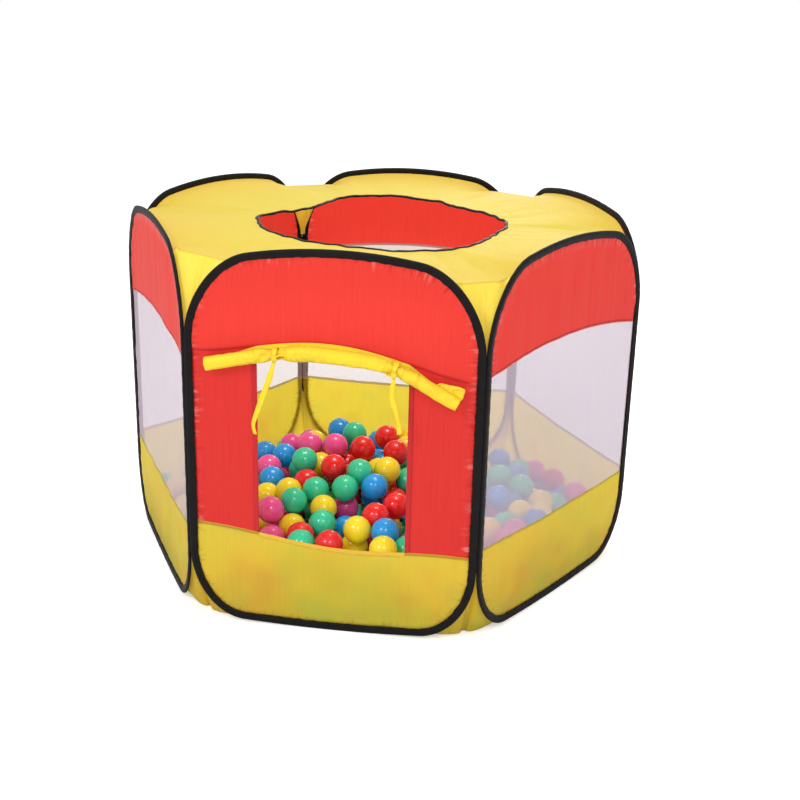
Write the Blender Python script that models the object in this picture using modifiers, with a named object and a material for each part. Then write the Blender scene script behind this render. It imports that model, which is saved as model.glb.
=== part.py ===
"""Hexagonal pop-up ball pit tent: six sprung wire hoops in cloth sleeves, joined by cloth.

Metres, +Z up. The origin is the middle of the floor's underside. The door wall faces -Y, and two
corners of the hexagon lie on the X axis.
"""

import math

import bmesh
import bpy
from mathutils import Matrix, Vector

# Hexagon and hoops
WALL_WIDTH = 0.600  # one side of the hexagon, corner seam to corner seam
HOOP_HEIGHT = 0.810  # lowest to highest point of a sleeved hoop
TOP_CORNER = (0.124, 0.145)  # width and height of the bend
BOTTOM_CORNER = (0.105, 0.140)
TOP_ARCH = 0.045  # rise of the top edge between its corners
BOTTOM_ARCH = 0.013  # drop of the bottom edge between its corners

# Sleeve of folded tape, wire and the ferrule that joins the wire's ends
SLEEVE_WIDTH = 0.016
SLEEVE_DEPTH = 0.008
SLEEVE_LIP_DEPTH = 0.0036  # across both lips, where the cloth goes in
SLEEVE_RIM_DEPTH = 0.0032  # at its outer edge
WIRE_DIAMETER = 0.0025
WIRE_SEAT = 0.003  # the wire lies this far outside the sleeve's middle
WIRE_END_GAP = 0.001
FERRULE_LENGTH = 0.040
FERRULE_DIAMETER = 0.0041
FERRULE_WALL = 0.0005

# Cloth
CLOTH = 0.001
CLOTH_TUCK = 0.004  # a panel's edge stops this far inside the sleeve's middle
FIT = 0.0003  # gap between touching pieces
CORNER_FIT = 0.0002  # half the gap between two sleeves at a corner seam

# Wall seams: mean height of the ends, rise at mid wall, rise from the middle to the right end,
# and how sharply the middle rises
WINDOW_TOP = (HOOP_HEIGHT - 0.237, 0.030, 0, 1)
WINDOW_SILL = (0.205, -0.006, 0, 1)
DOOR_TOP = (HOOP_HEIGHT - 0.230, 0.045, -0.016, 2)
DOOR_SILL = (0.206, -0.020, -0.0165, 3)
DOORWAY_WIDTH = 0.304

# Roof and floor
ROOF_LEVEL = HOOP_HEIGHT - 0.035  # height of the roof at its opening
ROOF_SHOULDER = 0.110  # the corners turn down this far inside the hoops
ROOF_SHOULDER_LIFT = 0.18  # share of the hoop's height over the roof kept at the shoulder
ROOF_CORNER_SAG = 0.012  # most that the shoulder drops at the corners
OPENING_RADIUS = 0.285
OPENING_MIDDLE = (0.026, -0.049)
OPENING_WAVES = ((2, 0.020, -170), (3, 0.016, -94), (4, 0.019, 64), (5, 0.006, 151), (6, 0.003, 20))
OPENING_BINDING = 0.006
FLOOR_TURN_UP = 0.012  # the floor leaves the ground this far inside mid wall
FLOOR_CORNER_TURN_UP = 0.045  # and this far inside a corner

# Rolled door flap and its ties
ROLL_RADIUS = 0.017
ROLL_CORE_RADIUS = 0.005
ROLL_TURNS = 2.25
ROLL_DROPS = ((-0.250, 0.235), (-0.108, 0.207), (0.0, 0.203), (0.124, 0.221), (0.250, 0.284))
ROLL_ROUTE = tuple((x, HOOP_HEIGHT - drop) for x, drop in ROLL_DROPS)
TIE_PLACES = {"left": -0.108, "right": 0.126}
TIE_PINCH = {"left": 0.62, "right": 0.80}  # share of the roll's radius left under each tie
TIE_WIDTH = 0.010
TIE_THICKNESS = 0.001
TIE_GRIP = 0.016  # length of roll drawn in under a tie
KNOT_RADIUS = 0.006
KNOT_DROP = 20  # degrees below level on the roll's front
FLAP_SEAM_OVERLAP = 0.003  # the flap is sewn over the door's upper seam by this much
FLAP_FOOT_WIDTH = 0.480  # the flap widens from the doorway's width to this at the roll
TAIL_ROUTES = {  # millimetres along the wall and down from each knot
    "left": ((0, 0), (-8, -28), (-21, -66), (-33, -100), (-43, -130), (-40, -152)),
    "right": ((0, 0), (-1, -22), (-1, -42), (6, -68), (12, -93), (15, -113)),
}
TAIL_STEPS = 3

# Balls
BALL_RADIUS = 0.030
HEAP_TOP = 0.209  # height of the heap under its uppermost balls
HEAP_MIDDLE = -0.08  # where the heap is highest: in front of the tent's middle
HEAP_REACH = 0.62
HEAP_FALLS = {"side": 0.16, "front": 0.14, "back": 0.30}  # drop at that reach
HEAP_WALL_GAP = 0.030
HEAP_CORNER_CUT = 0.080  # each corner of the heap is cut off this far inside the seam
HEAP_CELLS = 28
LOOSE_BALLS = (
    ("blue", -0.106, 0.100),
    ("green", -0.056, 0.033),
    ("red", 0.027, 0.018),
    ("yellow", 0.082, 0.050),
    ("pink", -0.146, -0.065),
    ("pink", -0.083, -0.074),
    ("red", -0.014, -0.085),
    ("red", 0.066, -0.090),
    ("green", -0.137, -0.161),
    ("red", -0.061, -0.197),
    ("green", 0.002, -0.213),
    ("yellow", 0.062, -0.190),
)

# Steps that round stretches are drawn in
TOP_CORNER_STEPS = 5
TOP_STEPS = 6
BOTTOM_CORNER_STEPS = 5
BOTTOM_STEPS = 3
SIDE_STEPS = 3
SEAM_STEPS = 12

WALLS = ("front", "front_right", "back_right", "back", "back_left", "front_left")
APOTHEM = WALL_WIDTH * math.sqrt(3) / 2
HALF_CLOTH = CLOTH / 2
COLOURS = {
    "red_nylon": ("D93A34", 0.55, 0.0, 1.0),
    "yellow_nylon": ("E8CE4E", 0.55, 0.0, 1.0),
    "white_mesh": ("E2DAE6", 0.70, 0.0, 0.45),
    "black_tape": ("1F1A1A", 0.75, 0.0, 1.0),
    "spring_steel": ("8C8F93", 0.35, 1.0, 1.0),
    "ferrule_steel": ("B5B7BA", 0.30, 1.0, 1.0),
    "flap_nylon": ("F8DC2C", 0.55, 0.0, 1.0),
    "ball_red": ("E02020", 0.15, 0.0, 1.0),
    "ball_yellow": ("F4C51E", 0.15, 0.0, 1.0),
    "ball_blue": ("1E8BD0", 0.15, 0.0, 1.0),
    "ball_green": ("2FA37C", 0.15, 0.0, 1.0),
    "ball_pink": ("E64C92", 0.15, 0.0, 1.0),
}


def clear_scene():
    for obj in list(bpy.data.objects):
        bpy.data.objects.remove(obj)


def new_collection(name):
    collection = bpy.data.collections.new(name)
    bpy.context.scene.collection.children.link(collection)
    return collection


def linear(value):
    return value / 12.92 if value <= 0.04045 else ((value + 0.055) / 1.055) ** 2.4


def material(name):
    if name in bpy.data.materials:
        return bpy.data.materials[name]
    hexcode, roughness, metallic, alpha = COLOURS[name]
    made = bpy.data.materials.new(name)
    made.use_nodes = True
    shader = made.node_tree.nodes["Principled BSDF"]
    colour = [linear(int(hexcode[i : i + 2], 16) / 255) for i in (0, 2, 4)]
    shader.inputs["Base Color"].default_value = (*colour, 1.0)
    shader.inputs["Roughness"].default_value = roughness
    shader.inputs["Metallic"].default_value = metallic
    shader.inputs["Alpha"].default_value = alpha
    return made


def link_object(name, data, material_name, parent=None):
    """A part, in the wall's frame that parent gives."""
    obj = bpy.data.objects.new(name, data)
    PARTS.objects.link(obj)
    obj.parent = parent
    if not data.materials:
        data.materials.append(material(material_name))
    return obj


def link_guide(name, data, parent=None):
    """A cutter or a guide, left out of the render."""
    obj = bpy.data.objects.new(name, data)
    GUIDES.objects.link(obj)
    obj.parent = parent
    obj.hide_render = True
    obj.display_type = "WIRE"
    return obj


def mesh_data(name, bm):
    mesh = bpy.data.meshes.new(name)
    bm.to_mesh(mesh)
    bm.free()
    return mesh


def mesh_object(name, bm, material_name, parent=None, smooth=False):
    bmesh.ops.recalc_face_normals(bm, faces=bm.faces)
    mesh = mesh_data(name, bm)
    if smooth:
        mesh.shade_smooth()
    return link_object(name, mesh, material_name, parent)


def set_modifier(obj, kind, **settings):
    modifier = obj.modifiers.new(kind.lower(), kind)
    for key, value in settings.items():
        setattr(modifier, key, value)
    return modifier


def wall_frame(wall):
    """An empty in the middle of a wall's foot: X along the wall, Y into the tent, Z up."""
    turn = math.radians(60 * WALLS.index(wall))
    frame = bpy.data.objects.new(f"frame_{wall}", None)
    PARTS.objects.link(frame)
    frame.rotation_euler = (0, 0, turn)
    frame.location = Matrix.Rotation(turn, 3, "Z") @ Vector((0, -APOTHEM, 0))
    return frame


# Outlines, as (along, height) points in a wall's plane


def bend(middle, size, start, end, steps):
    """Points round an ellipse, from start to end in degrees, with both ends."""
    angles = [math.radians(start + (end - start) * i / steps) for i in range(steps + 1)]
    return [(middle[0] + size[0] * math.cos(a), middle[1] + size[1] * math.sin(a)) for a in angles]


def corner_inset():
    """From a corner seam to the middle of a sleeve, so that the sleeves of two walls just touch."""
    slope = math.radians(30)
    reach = SLEEVE_WIDTH / 2 * math.cos(slope) + SLEEVE_RIM_DEPTH / 2 * math.sin(slope)
    return (reach + CORNER_FIT) / math.cos(slope)


def right_half():
    """The right half of a hoop's middle line, from the bottom edge up to the top's middle."""
    side = WALL_WIDTH / 2 - corner_inset()
    first = (side - BOTTOM_CORNER[0]) / BOTTOM_STEPS
    low = SLEEVE_WIDTH / 2 + BOTTOM_ARCH * (1 - (first / side) ** 2)
    high = HOOP_HEIGHT - SLEEVE_WIDTH / 2 - TOP_ARCH
    foot = low + BOTTOM_CORNER[1]
    shoulder = high - TOP_CORNER[1]
    points = [(first, low)]
    points += bend((side - BOTTOM_CORNER[0], foot), BOTTOM_CORNER, -90, 0, BOTTOM_CORNER_STEPS)
    for step in range(1, SIDE_STEPS):
        points.append((side, foot + (shoulder - foot) * step / SIDE_STEPS))
    points += bend((side - TOP_CORNER[0], shoulder), TOP_CORNER, 0, 90, TOP_CORNER_STEPS)
    for step in range(1, TOP_STEPS // 2 + 1):
        points.append(((side - TOP_CORNER[0]) * (1 - 2 * step / TOP_STEPS), high))
    middle = (low + high) / 2
    arched = []
    for x, z in points:
        arch = TOP_ARCH if z > middle else BOTTOM_ARCH
        reach = (z - middle) / (high - middle)
        arched.append((x, z + arch * reach * (1 - (x / side) ** 2)))
    return arched


def hoop_line():
    """A hoop's whole middle line, anticlockwise seen from outside the tent."""
    half = right_half()
    return half + [(-x, z) for x, z in half[-2::-1]]


def offset_loop(points, distance):
    """A closed anticlockwise outline moved outwards by distance, edge by edge."""
    moved = []
    for i, point in enumerate(points):
        before = Vector(point) - Vector(points[i - 1])
        after = Vector(points[(i + 1) % len(points)]) - Vector(point)
        normals = [Vector((edge.y, -edge.x)).normalized() for edge in (before, after)]
        middle = (normals[0] + normals[1]).normalized()
        moved.append(tuple(Vector(point) + middle * distance / middle.dot(normals[0])))
    return moved


def side_at(half, height):
    """How far out the right half of an outline is at a height on its upright."""
    for (x0, z0), (x1, z1) in zip(half, half[1:]):
        if z0 <= height <= z1 and z1 > z0:
            return x0 + (x1 - x0) * (height - z0) / (z1 - z0)
    raise ValueError(f"no upright at {height}")


def seam_places(seam, half):
    """Where a seam's straight stretches meet, from its right end to its left."""
    reach = side_at(half, seam[0])
    return [reach * (1 - 2 * i / SEAM_STEPS) for i in range(SEAM_STEPS + 1)]


def seam_height(seam, half, x):
    """A seam's height at x, on the straight stretches that both of its cloths share."""
    ends, rise, tilt, sharpness = seam
    places = seam_places(seam, half)
    shares = [place / places[0] for place in places]
    heights = [ends + rise * (1 - share**2) ** sharpness + tilt * share for share in shares]
    for right, left, high, low in zip(places, places[1:], heights, heights[1:]):
        if x >= left - 1e-9:
            return low + (high - low) * (x - left) / (right - left)
    raise ValueError(f"the seam doesn't reach {x}")


def panel_edge():
    """The right half of a cloth panel's edge, inside the sleeve."""
    full = offset_loop(hoop_line(), -CLOTH_TUCK)
    return full[: len(right_half())]


def moved_seam(seam, lift):
    return (seam[0] + lift, *seam[1:])


def mirrored_seam(seam):
    ends, rise, tilt, sharpness = seam
    return (ends, rise, -tilt, sharpness)


def right_edge(half, low, high):
    """A panel's right edge between two seams, or out to the hoop where a seam is None."""
    floor = low[0] + low[2] if low else -1.0
    ceiling = high[0] + high[2] if high else 2.0
    points = [point for point in half if floor < point[1] < ceiling]
    if low:
        points.insert(0, (side_at(half, floor), floor))
    if high:
        points.append((side_at(half, ceiling), ceiling))
    return points


def band_outline(low=None, high=None):
    """The outline of the cloth between two seams, or out to the hoop where a seam is None."""
    half = panel_edge()
    right = right_edge(half, low, high)
    other = right_edge(half, low and mirrored_seam(low), high and mirrored_seam(high))
    left = [(-x, z) for x, z in reversed(other) if x > 1e-6]
    top = []
    bottom = []
    if high:
        top = [(x, seam_height(high, half, x)) for x in seam_places(high, half)[1:-1]]
    if low:
        bottom = [(x, seam_height(low, half, x)) for x in seam_places(low, half)[-2:0:-1]]
    return right + top + left + bottom


def strip_outline(low, high):
    """The door wall's upright strip on the right of the doorway, between two seams."""
    half = panel_edge()
    inner = DOORWAY_WIDTH / 2
    bottom, top = (
        [(x, seam_height(seam, half, x)) for x in seam_places(seam, half)[1:] if x > inner]
        for seam in (low, high)
    )
    corners = [(inner, seam_height(seam, half, inner)) for seam in (high, low)]
    return bottom[::-1] + right_edge(half, low, high) + top + corners


# Curves that stand in a wall's plane


def poly_curve(name, points, closed=True, dimensions="2D"):
    curve = bpy.data.curves.new(name, "CURVE")
    curve.dimensions = dimensions
    spline = curve.splines.new("POLY")
    spline.points.add(len(points) - 1)
    for target, point in zip(spline.points, points):
        target.co = (*point, 0, 1) if len(point) == 2 else (*point, 1)
    spline.use_cyclic_u = closed
    return curve


def stand_up(obj):
    """Turn a curve drawn in X and Y into its wall's plane, X and Z."""
    obj.rotation_euler = (math.radians(90), 0, 0)


def make_panel(name, outline, material_name, frame, data=None):
    if data is None:
        data = poly_curve(name, outline)
        data.fill_mode = "BOTH"
        data.extrude = HALF_CLOTH
    obj = link_object(name, data, material_name, frame)
    stand_up(obj)
    return obj


def sleeve_section():
    """The folded tape cut across: out along -X, as a curve's bevel needs, open on its inner side."""
    width = SLEEVE_WIDTH / 2
    depth = SLEEVE_DEPTH / 2
    pocket = FERRULE_DIAMETER / 2 + FIT
    outer = [
        (-width, HALF_CLOTH + FIT),
        (-width, SLEEVE_LIP_DEPTH / 2),
        (WIRE_SEAT, depth),
        (width, SLEEVE_RIM_DEPTH / 2),
    ]
    inner = [(WIRE_SEAT + pocket, pocket), (WIRE_SEAT - pocket, pocket)]
    far_side = [(x, -y) for x, y in reversed(inner + outer)]
    return [(-x, y) for x, y in reversed(outer + far_side + inner)]


def sleeve_depth_at_middle():
    """Half the sleeve's depth over its own middle line."""
    share = (SLEEVE_WIDTH / 2) / (SLEEVE_WIDTH / 2 + WIRE_SEAT)
    return SLEEVE_LIP_DEPTH / 2 + (SLEEVE_DEPTH / 2 - SLEEVE_LIP_DEPTH / 2) * share


def make_hoops(frames):
    """Sleeve, spring wire and ferrule of each wall."""
    sleeve = poly_curve("sleeve", hoop_line())
    sleeve.bevel_mode = "OBJECT"
    sleeve.bevel_object = link_guide("sleeve_section", poly_curve("sleeve_section", sleeve_section()))

    line = offset_loop(hoop_line(), WIRE_SEAT)
    height = line[0][1]
    end = WIRE_END_GAP / 2
    wire = poly_curve("wire", [(end, height)] + line + [(-end, height)], closed=False)
    wire.bevel_depth = WIRE_DIAMETER / 2
    wire.bevel_resolution = 1
    wire.use_fill_caps = True

    tube = tube_wall("ferrule", FERRULE_LENGTH, FERRULE_DIAMETER / 2, FERRULE_WALL)
    for wall, frame in frames.items():
        stand_up(link_object(f"sleeve_{wall}", sleeve, "black_tape", frame))
        stand_up(link_object(f"spring_wire_{wall}", wire, "spring_steel", frame))
        ferrule = link_object(f"ferrule_{wall}", tube, "ferrule_steel", frame)
        ferrule.location = (0, 0, height)
        turn_tube(ferrule, 8)


def tube_wall(name, length, outer, wall):
    """A tube's wall cut along its length, above its X axis."""
    half = length / 2
    inner = outer - wall
    bm = bmesh.new()
    ends = ((-half, outer), (half, outer), (half, inner), (-half, inner))
    corners = [bm.verts.new((x, 0, z)) for x, z in ends]
    for i, corner in enumerate(corners):
        bm.edges.new((corner, corners[(i + 1) % 4]))
    return mesh_data(name, bm)


def turn_tube(obj, steps):
    set_modifier(obj, "SCREW", axis="X", steps=steps, render_steps=steps, use_normal_flip=True)


def make_walls(frames):
    upper_seam = moved_seam(WINDOW_TOP, FIT / 2)
    window_high = moved_seam(WINDOW_TOP, -FIT / 2)
    window_low = moved_seam(WINDOW_SILL, FIT / 2)
    lower_seam = moved_seam(WINDOW_SILL, -FIT / 2)
    shared = {
        "upper_band": (band_outline(low=upper_seam), "red_nylon"),
        "mesh_window": (band_outline(low=window_low, high=window_high), "white_mesh"),
        "lower_band": (band_outline(high=lower_seam), "yellow_nylon"),
    }
    data = {kind: None for kind in shared}
    for wall in WALLS[1:]:
        for kind, (outline, colour) in shared.items():
            panel = make_panel(f"{kind}_{wall}", outline, colour, frames[wall], data[kind])
            data[kind] = panel.data
    front = frames["front"]
    over = band_outline(low=moved_seam(DOOR_TOP, FIT / 2))
    under = band_outline(high=moved_seam(DOOR_SILL, -FIT / 2))
    make_panel("door_upper_band", over, "red_nylon", front)
    make_panel("door_lower_band", under, "yellow_nylon", front)
    seams = (moved_seam(DOOR_SILL, FIT / 2), moved_seam(DOOR_TOP, -FIT / 2))
    make_panel("door_strip_right", strip_outline(*seams), "red_nylon", front)
    mirrored = strip_outline(*(mirrored_seam(seam) for seam in seams))
    make_panel("door_strip_left", [(-x, z) for x, z in reversed(mirrored)], "red_nylon", front)


# Roof and floor


def sheet_edge(points, inset):
    """Points on all six walls' hoops, just inside the sleeves, as world positions in one loop."""
    loop = []
    for index in range(6):
        turn = Matrix.Rotation(math.radians(60 * index), 3, "Z")
        loop += [turn @ Vector((x, -APOTHEM + inset, z)) for x, z in points]
    return loop


def opening_point(angle, inset=0.0):
    """A point on the roof opening's wavy edge, at an angle about its middle."""
    radius = OPENING_RADIUS - inset
    for count, depth, lag in OPENING_WAVES:
        radius += depth * math.cos(count * angle - math.radians(lag))
    x, y = OPENING_MIDDLE
    return Vector((x + radius * math.cos(angle), y + radius * math.sin(angle), ROOF_LEVEL))


def inward(point, distance, height):
    """The point moved level towards the tent's middle, at a new height."""
    flat = Vector((point.x, point.y, 0))
    flat *= 1 - distance / flat.length
    return Vector((flat.x, flat.y, height))


def bridged_rings(rings, close_last=False):
    """Quads between rings of equal count, as a mesh. The last ring may be closed by one flat face."""
    bm = bmesh.new()
    rows = [[bm.verts.new(point) for point in ring] for ring in rings]
    count = len(rings[0])
    for outer, inner in zip(rows, rows[1:]):
        for i in range(count):
            j = (i + 1) % count
            bm.faces.new((outer[i], outer[j], inner[j], inner[i]))
    if close_last:
        bm.faces.new(rows[-1])
    return bm


def make_roof():
    """The roof runs over the hoops' tops and down their bends, so that it closes the corners."""
    line = hoop_line()
    first = 1 + BOTTOM_CORNER_STEPS + SIDE_STEPS
    top = line[first : len(line) - first][::-1]
    edge = sheet_edge(top, sleeve_depth_at_middle() + FIT + HALF_CLOTH)
    x, y = OPENING_MIDDLE
    angles = [math.atan2(point.y - y, point.x - x) for point in edge]
    opening = [opening_point(angle) for angle in angles]
    shoulder = []
    for point in edge:
        lift = (point.z - ROOF_LEVEL) * ROOF_SHOULDER_LIFT
        shoulder.append(inward(point, ROOF_SHOULDER, ROOF_LEVEL + max(lift, -ROOF_CORNER_SAG)))
    middle = [(outer + inner) / 2 for outer, inner in zip(shoulder, opening)]
    bm = bridged_rings([edge, shoulder, middle, opening])
    roof = mesh_object("roof", bm, "yellow_nylon", smooth=True)
    set_modifier(roof, "SOLIDIFY", thickness=CLOTH, offset=0.0)

    inset = OPENING_BINDING / 2 + 3 * FIT
    ring = [opening_point(angle, inset) for angle in angles]
    curve = poly_curve("roof_opening_binding", ring, dimensions="3D")
    curve.bevel_depth = OPENING_BINDING / 2
    curve.bevel_resolution = 1
    link_object("roof_opening_binding", curve, "black_tape")


def make_floor():
    """The floor turns up to the hoops and closes the corners between their lower bends."""
    half = right_half()[: 2 + BOTTOM_CORNER_STEPS]
    bottom = [(-x, z) for x, z in reversed(half)] + half
    edge = sheet_edge(bottom, sleeve_depth_at_middle() + FIT + HALF_CLOTH)
    lowest = SLEEVE_WIDTH / 2
    highest = max(z for _, z in bottom)
    ground = []
    for point in edge:
        share = (point.z - lowest) / (highest - lowest)
        reach = FLOOR_TURN_UP + (FLOOR_CORNER_TURN_UP - FLOOR_TURN_UP) * share
        ground.append(inward(point, reach, HALF_CLOTH))
    bm = bridged_rings([edge, ground], close_last=True)
    floor = mesh_object("floor", bm, "yellow_nylon", smooth=False)
    set_modifier(floor, "SOLIDIFY", thickness=CLOTH, offset=0.0)


# Door flap


def smooth_route(points, samples):
    """A smooth curve through the points, read at an even share of each stretch."""
    points = [Vector(p) for p in points]
    padded = [points[0] * 2 - points[1]] + points + [points[-1] * 2 - points[-2]]
    route = []
    for a, b, c, d in zip(padded, padded[1:], padded[2:], padded[3:]):
        bend_in = 2 * a - 5 * b + 4 * c - d
        bend_out = 3 * b - a - 3 * c + d
        for i in range(samples):
            t = i / samples
            route.append(b + ((c - a) * t + bend_in * t**2 + bend_out * t**3) / 2)
    route.append(points[-1])
    return route


def roll_place(x):
    """Height and slope of the roll's middle at a place along the door."""
    route = smooth_route(ROLL_ROUTE, 12)
    for a, b in zip(route, route[1:]):
        if a.x <= x <= b.x + 1e-9:
            share = (x - a.x) / (b.x - a.x)
            return a.y + (b.y - a.y) * share, math.atan2(b.y - a.y, b.x - a.x)
    raise ValueError(f"the roll doesn't reach {x}")


def roll_middle():
    """How far in front of the door wall's plane the roll's middle line runs."""
    return HALF_CLOTH + FIT + CLOTH + FIT + ROLL_RADIUS


def spiral_section(radius):
    """The rolled cloth cut across, wound in from its back: across the wall along X, up along Y."""
    steps = round(10 * ROLL_TURNS)
    scale = radius / ROLL_RADIUS
    outer = []
    inner = []
    for i in range(steps + 1):
        share = i / steps
        turn = -2 * math.pi * ROLL_TURNS * share
        reach = (ROLL_RADIUS + (ROLL_CORE_RADIUS - ROLL_RADIUS) * share) * scale
        way = Vector((math.cos(turn), math.sin(turn)))
        outer.append(way * reach)
        inner.append(way * (reach - CLOTH * 1.2 * scale))
    return outer + inner[::-1]


def roll_stations():
    """Places along the roll and the radius there, drawn in under each tie."""
    ends = (ROLL_ROUTE[0][0], ROLL_ROUTE[-1][0])
    stations = {x: 1.0 for x in (ends[0], ends[0] * 0.8, 0.0, ends[1] * 0.8, ends[1])}
    for side, x in TIE_PLACES.items():
        for step, swell in ((-0.030, 0.96), (-TIE_GRIP / 2, 0), (TIE_GRIP / 2, 0), (0.030, 0.96)):
            stations[x + step] = swell or TIE_PINCH[side]
    return sorted(stations.items())


def make_flap(frame):
    """The flap: the stretch sewn over the doorway, and the rest of it rolled up in front."""
    rings = []
    depth = -roll_middle()
    for x, share in roll_stations():
        height, slope = roll_place(x)
        rings.append([
            Vector((x - p.y * math.sin(slope), depth + p.x, height + p.y * math.cos(slope)))
            for p in spiral_section(ROLL_RADIUS * share)
        ])
    bm = bridged_rings(rings)
    bm.verts.ensure_lookup_table()
    count = len(rings[0])
    for row in (0, len(rings) - 1):
        for i in range(count // 2 - 1):
            j = count - 1 - i
            corners = [bm.verts[row * count + n] for n in (i, i + 1, j - 1, j)]
            bm.faces.new(corners)
    mesh_object("door_flap_roll", bm, "flap_nylon", frame)

    steps = 8
    places = [FLAP_FOOT_WIDTH * (i / steps - 0.5) for i in range(steps + 1)]
    bottom = [(x, roll_place(x)[0]) for x in places]
    half = panel_edge()
    spots = [DOORWAY_WIDTH * (0.5 - i / steps) for i in range(steps + 1)]
    top = [(x, seam_height(DOOR_TOP, half, x) + FLAP_SEAM_OVERLAP) for x in spots]
    sheet = make_panel("door_flap_sheet", bottom + top, "flap_nylon", frame)
    sheet.location = (0, -(CLOTH + FIT), 0)


def make_ties(frame):
    """Each tie: a band drawn round the roll with its knot, and the tail that hangs from the knot."""
    for side, x in TIE_PLACES.items():
        height, slope = roll_place(x)
        outer = ROLL_RADIUS * TIE_PINCH[side] + FIT + TIE_THICKNESS
        band = tube_wall(f"tie_{side}", TIE_WIDTH, outer, TIE_THICKNESS)
        tie = link_object(f"tie_{side}", band, "flap_nylon", frame)
        tie.location = (x, -roll_middle(), height)
        tie.rotation_euler = (0, -slope, 0)
        turn_tube(tie, 20)

        lump = bmesh.new()
        bmesh.ops.create_uvsphere(lump, u_segments=10, v_segments=7, radius=KNOT_RADIUS)
        knot = link_guide(f"knot_{side}", mesh_data(f"knot_{side}", lump), frame)
        reach = outer + KNOT_RADIUS - TIE_THICKNESS / 2
        drop = math.radians(KNOT_DROP)
        depth = roll_middle() + reach * math.cos(drop)
        knot.location = (x, -depth, height - reach * math.sin(drop))
        set_modifier(tie, "BOOLEAN", operation="UNION", object=knot)
        start = Vector((x, knot.location.y, knot.location.z - KNOT_RADIUS - FIT))
        make_tail(side, start, frame)


def make_tail(side, start, frame):
    """A flat ribbon that hangs from start, level across its upper end."""
    places = [(start.x + a / 1000, start.z + b / 1000) for a, b in TAIL_ROUTES[side]]
    route = smooth_route(places, TAIL_STEPS)
    bm = bmesh.new()
    rows = []
    for i, point in enumerate(route):
        ahead = route[min(i + 1, len(route) - 1)] - route[max(i - 1, 0)]
        across = Vector((-ahead.y, ahead.x)).normalized() * TIE_WIDTH / 2
        if i == 0:
            across = Vector((TIE_WIDTH / 2, 0))
        across *= -1 if across.x < 0 else 1
        ends = (point - across, point + across)
        rows.append([bm.verts.new((end.x, start.y, end.y)) for end in ends])
    for low, high in zip(rows, rows[1:]):
        bm.faces.new((low[0], low[1], high[1], high[0]))
    tail = mesh_object(f"tie_{side}_tail", bm, "flap_nylon", frame)
    set_modifier(tail, "SOLIDIFY", thickness=TIE_THICKNESS, offset=0.0)


# Balls


def heap_height(x, y):
    """Height of the heap that the uppermost balls lie on."""
    back = y > HEAP_MIDDLE
    fall = HEAP_FALLS["back" if back else "front"]
    spread = HEAP_FALLS["side"] * x**2 + fall * (y - HEAP_MIDDLE) ** 2
    return HEAP_TOP - spread / HEAP_REACH**2


def make_heap():
    """The balls that aren't separate nodes, joined in one heap that fills the tent's foot."""
    bm = bmesh.new()
    bmesh.ops.create_grid(bm, x_segments=HEAP_CELLS, y_segments=HEAP_CELLS, size=WALL_WIDTH)
    top = list(bm.verts)
    base = bmesh.ops.extrude_face_region(bm, geom=list(bm.faces))["geom"]
    for vert in top:
        vert.co.z = max(heap_height(vert.co.x, vert.co.y), 0.02)
    for vert in base:
        if isinstance(vert, bmesh.types.BMVert):
            vert.co.z = -0.05
    heap = mesh_object("ball_heap", bm, "ball_yellow")

    cutter = bmesh.new()
    wall = APOTHEM - HEAP_WALL_GAP
    cut = WALL_WIDTH - HEAP_CORNER_CUT
    along = 2 * cut - wall * math.sqrt(3)
    outline = []
    for index in range(6):
        turn = Matrix.Rotation(math.radians(60 * index), 3, "Z")
        outline += [turn @ Vector((x, -wall, 0)) for x in (-along, along)]
    low = [cutter.verts.new((p.x, p.y, CLOTH + FIT)) for p in outline]
    high = [cutter.verts.new((p.x, p.y, HEAP_TOP + 0.1)) for p in outline]
    cutter.faces.new(low[::-1])
    cutter.faces.new(high)
    for i in range(12):
        j = (i + 1) % 12
        cutter.faces.new((low[i], low[j], high[j], high[i]))
    bmesh.ops.recalc_face_normals(cutter, faces=cutter.faces)
    limits = link_guide("heap_limits", mesh_data("heap_limits", cutter))
    set_modifier(heap, "BOOLEAN", operation="INTERSECT", object=limits)


def make_loose_balls():
    """The uppermost balls under the roof opening, each lying on the heap."""
    counts = {}
    for colour, x, y in LOOSE_BALLS:
        counts[colour] = counts.get(colour, 0) + 1
        fall = HEAP_FALLS["back" if y > HEAP_MIDDLE else "front"]
        slope = 2 * math.hypot(HEAP_FALLS["side"] * x, fall * (y - HEAP_MIDDLE)) / HEAP_REACH**2
        bm = bmesh.new()
        bmesh.ops.create_uvsphere(bm, u_segments=12, v_segments=8, radius=BALL_RADIUS)
        ball = mesh_object(f"ball_{colour}_{counts[colour]}", bm, f"ball_{colour}", smooth=True)
        lift = (BALL_RADIUS + FIT) * math.sqrt(1 + slope**2)
        ball.location = (x, y, heap_height(x, y) + lift)


clear_scene()
PARTS = new_collection("ball_pit_tent")
GUIDES = new_collection("guides_and_cutters")
FRAMES = {wall: wall_frame(wall) for wall in WALLS}
make_hoops(FRAMES)
make_walls(FRAMES)
make_roof()
make_floor()
make_flap(FRAMES["front"])
make_ties(FRAMES["front"])
make_heap()
make_loose_balls()
bpy.context.view_layer.update()
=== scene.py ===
import math
from functools import partial

import bmesh
import bpy
import numpy as np
from mathutils import Matrix, Quaternion, Vector, geometry, noise


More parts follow.
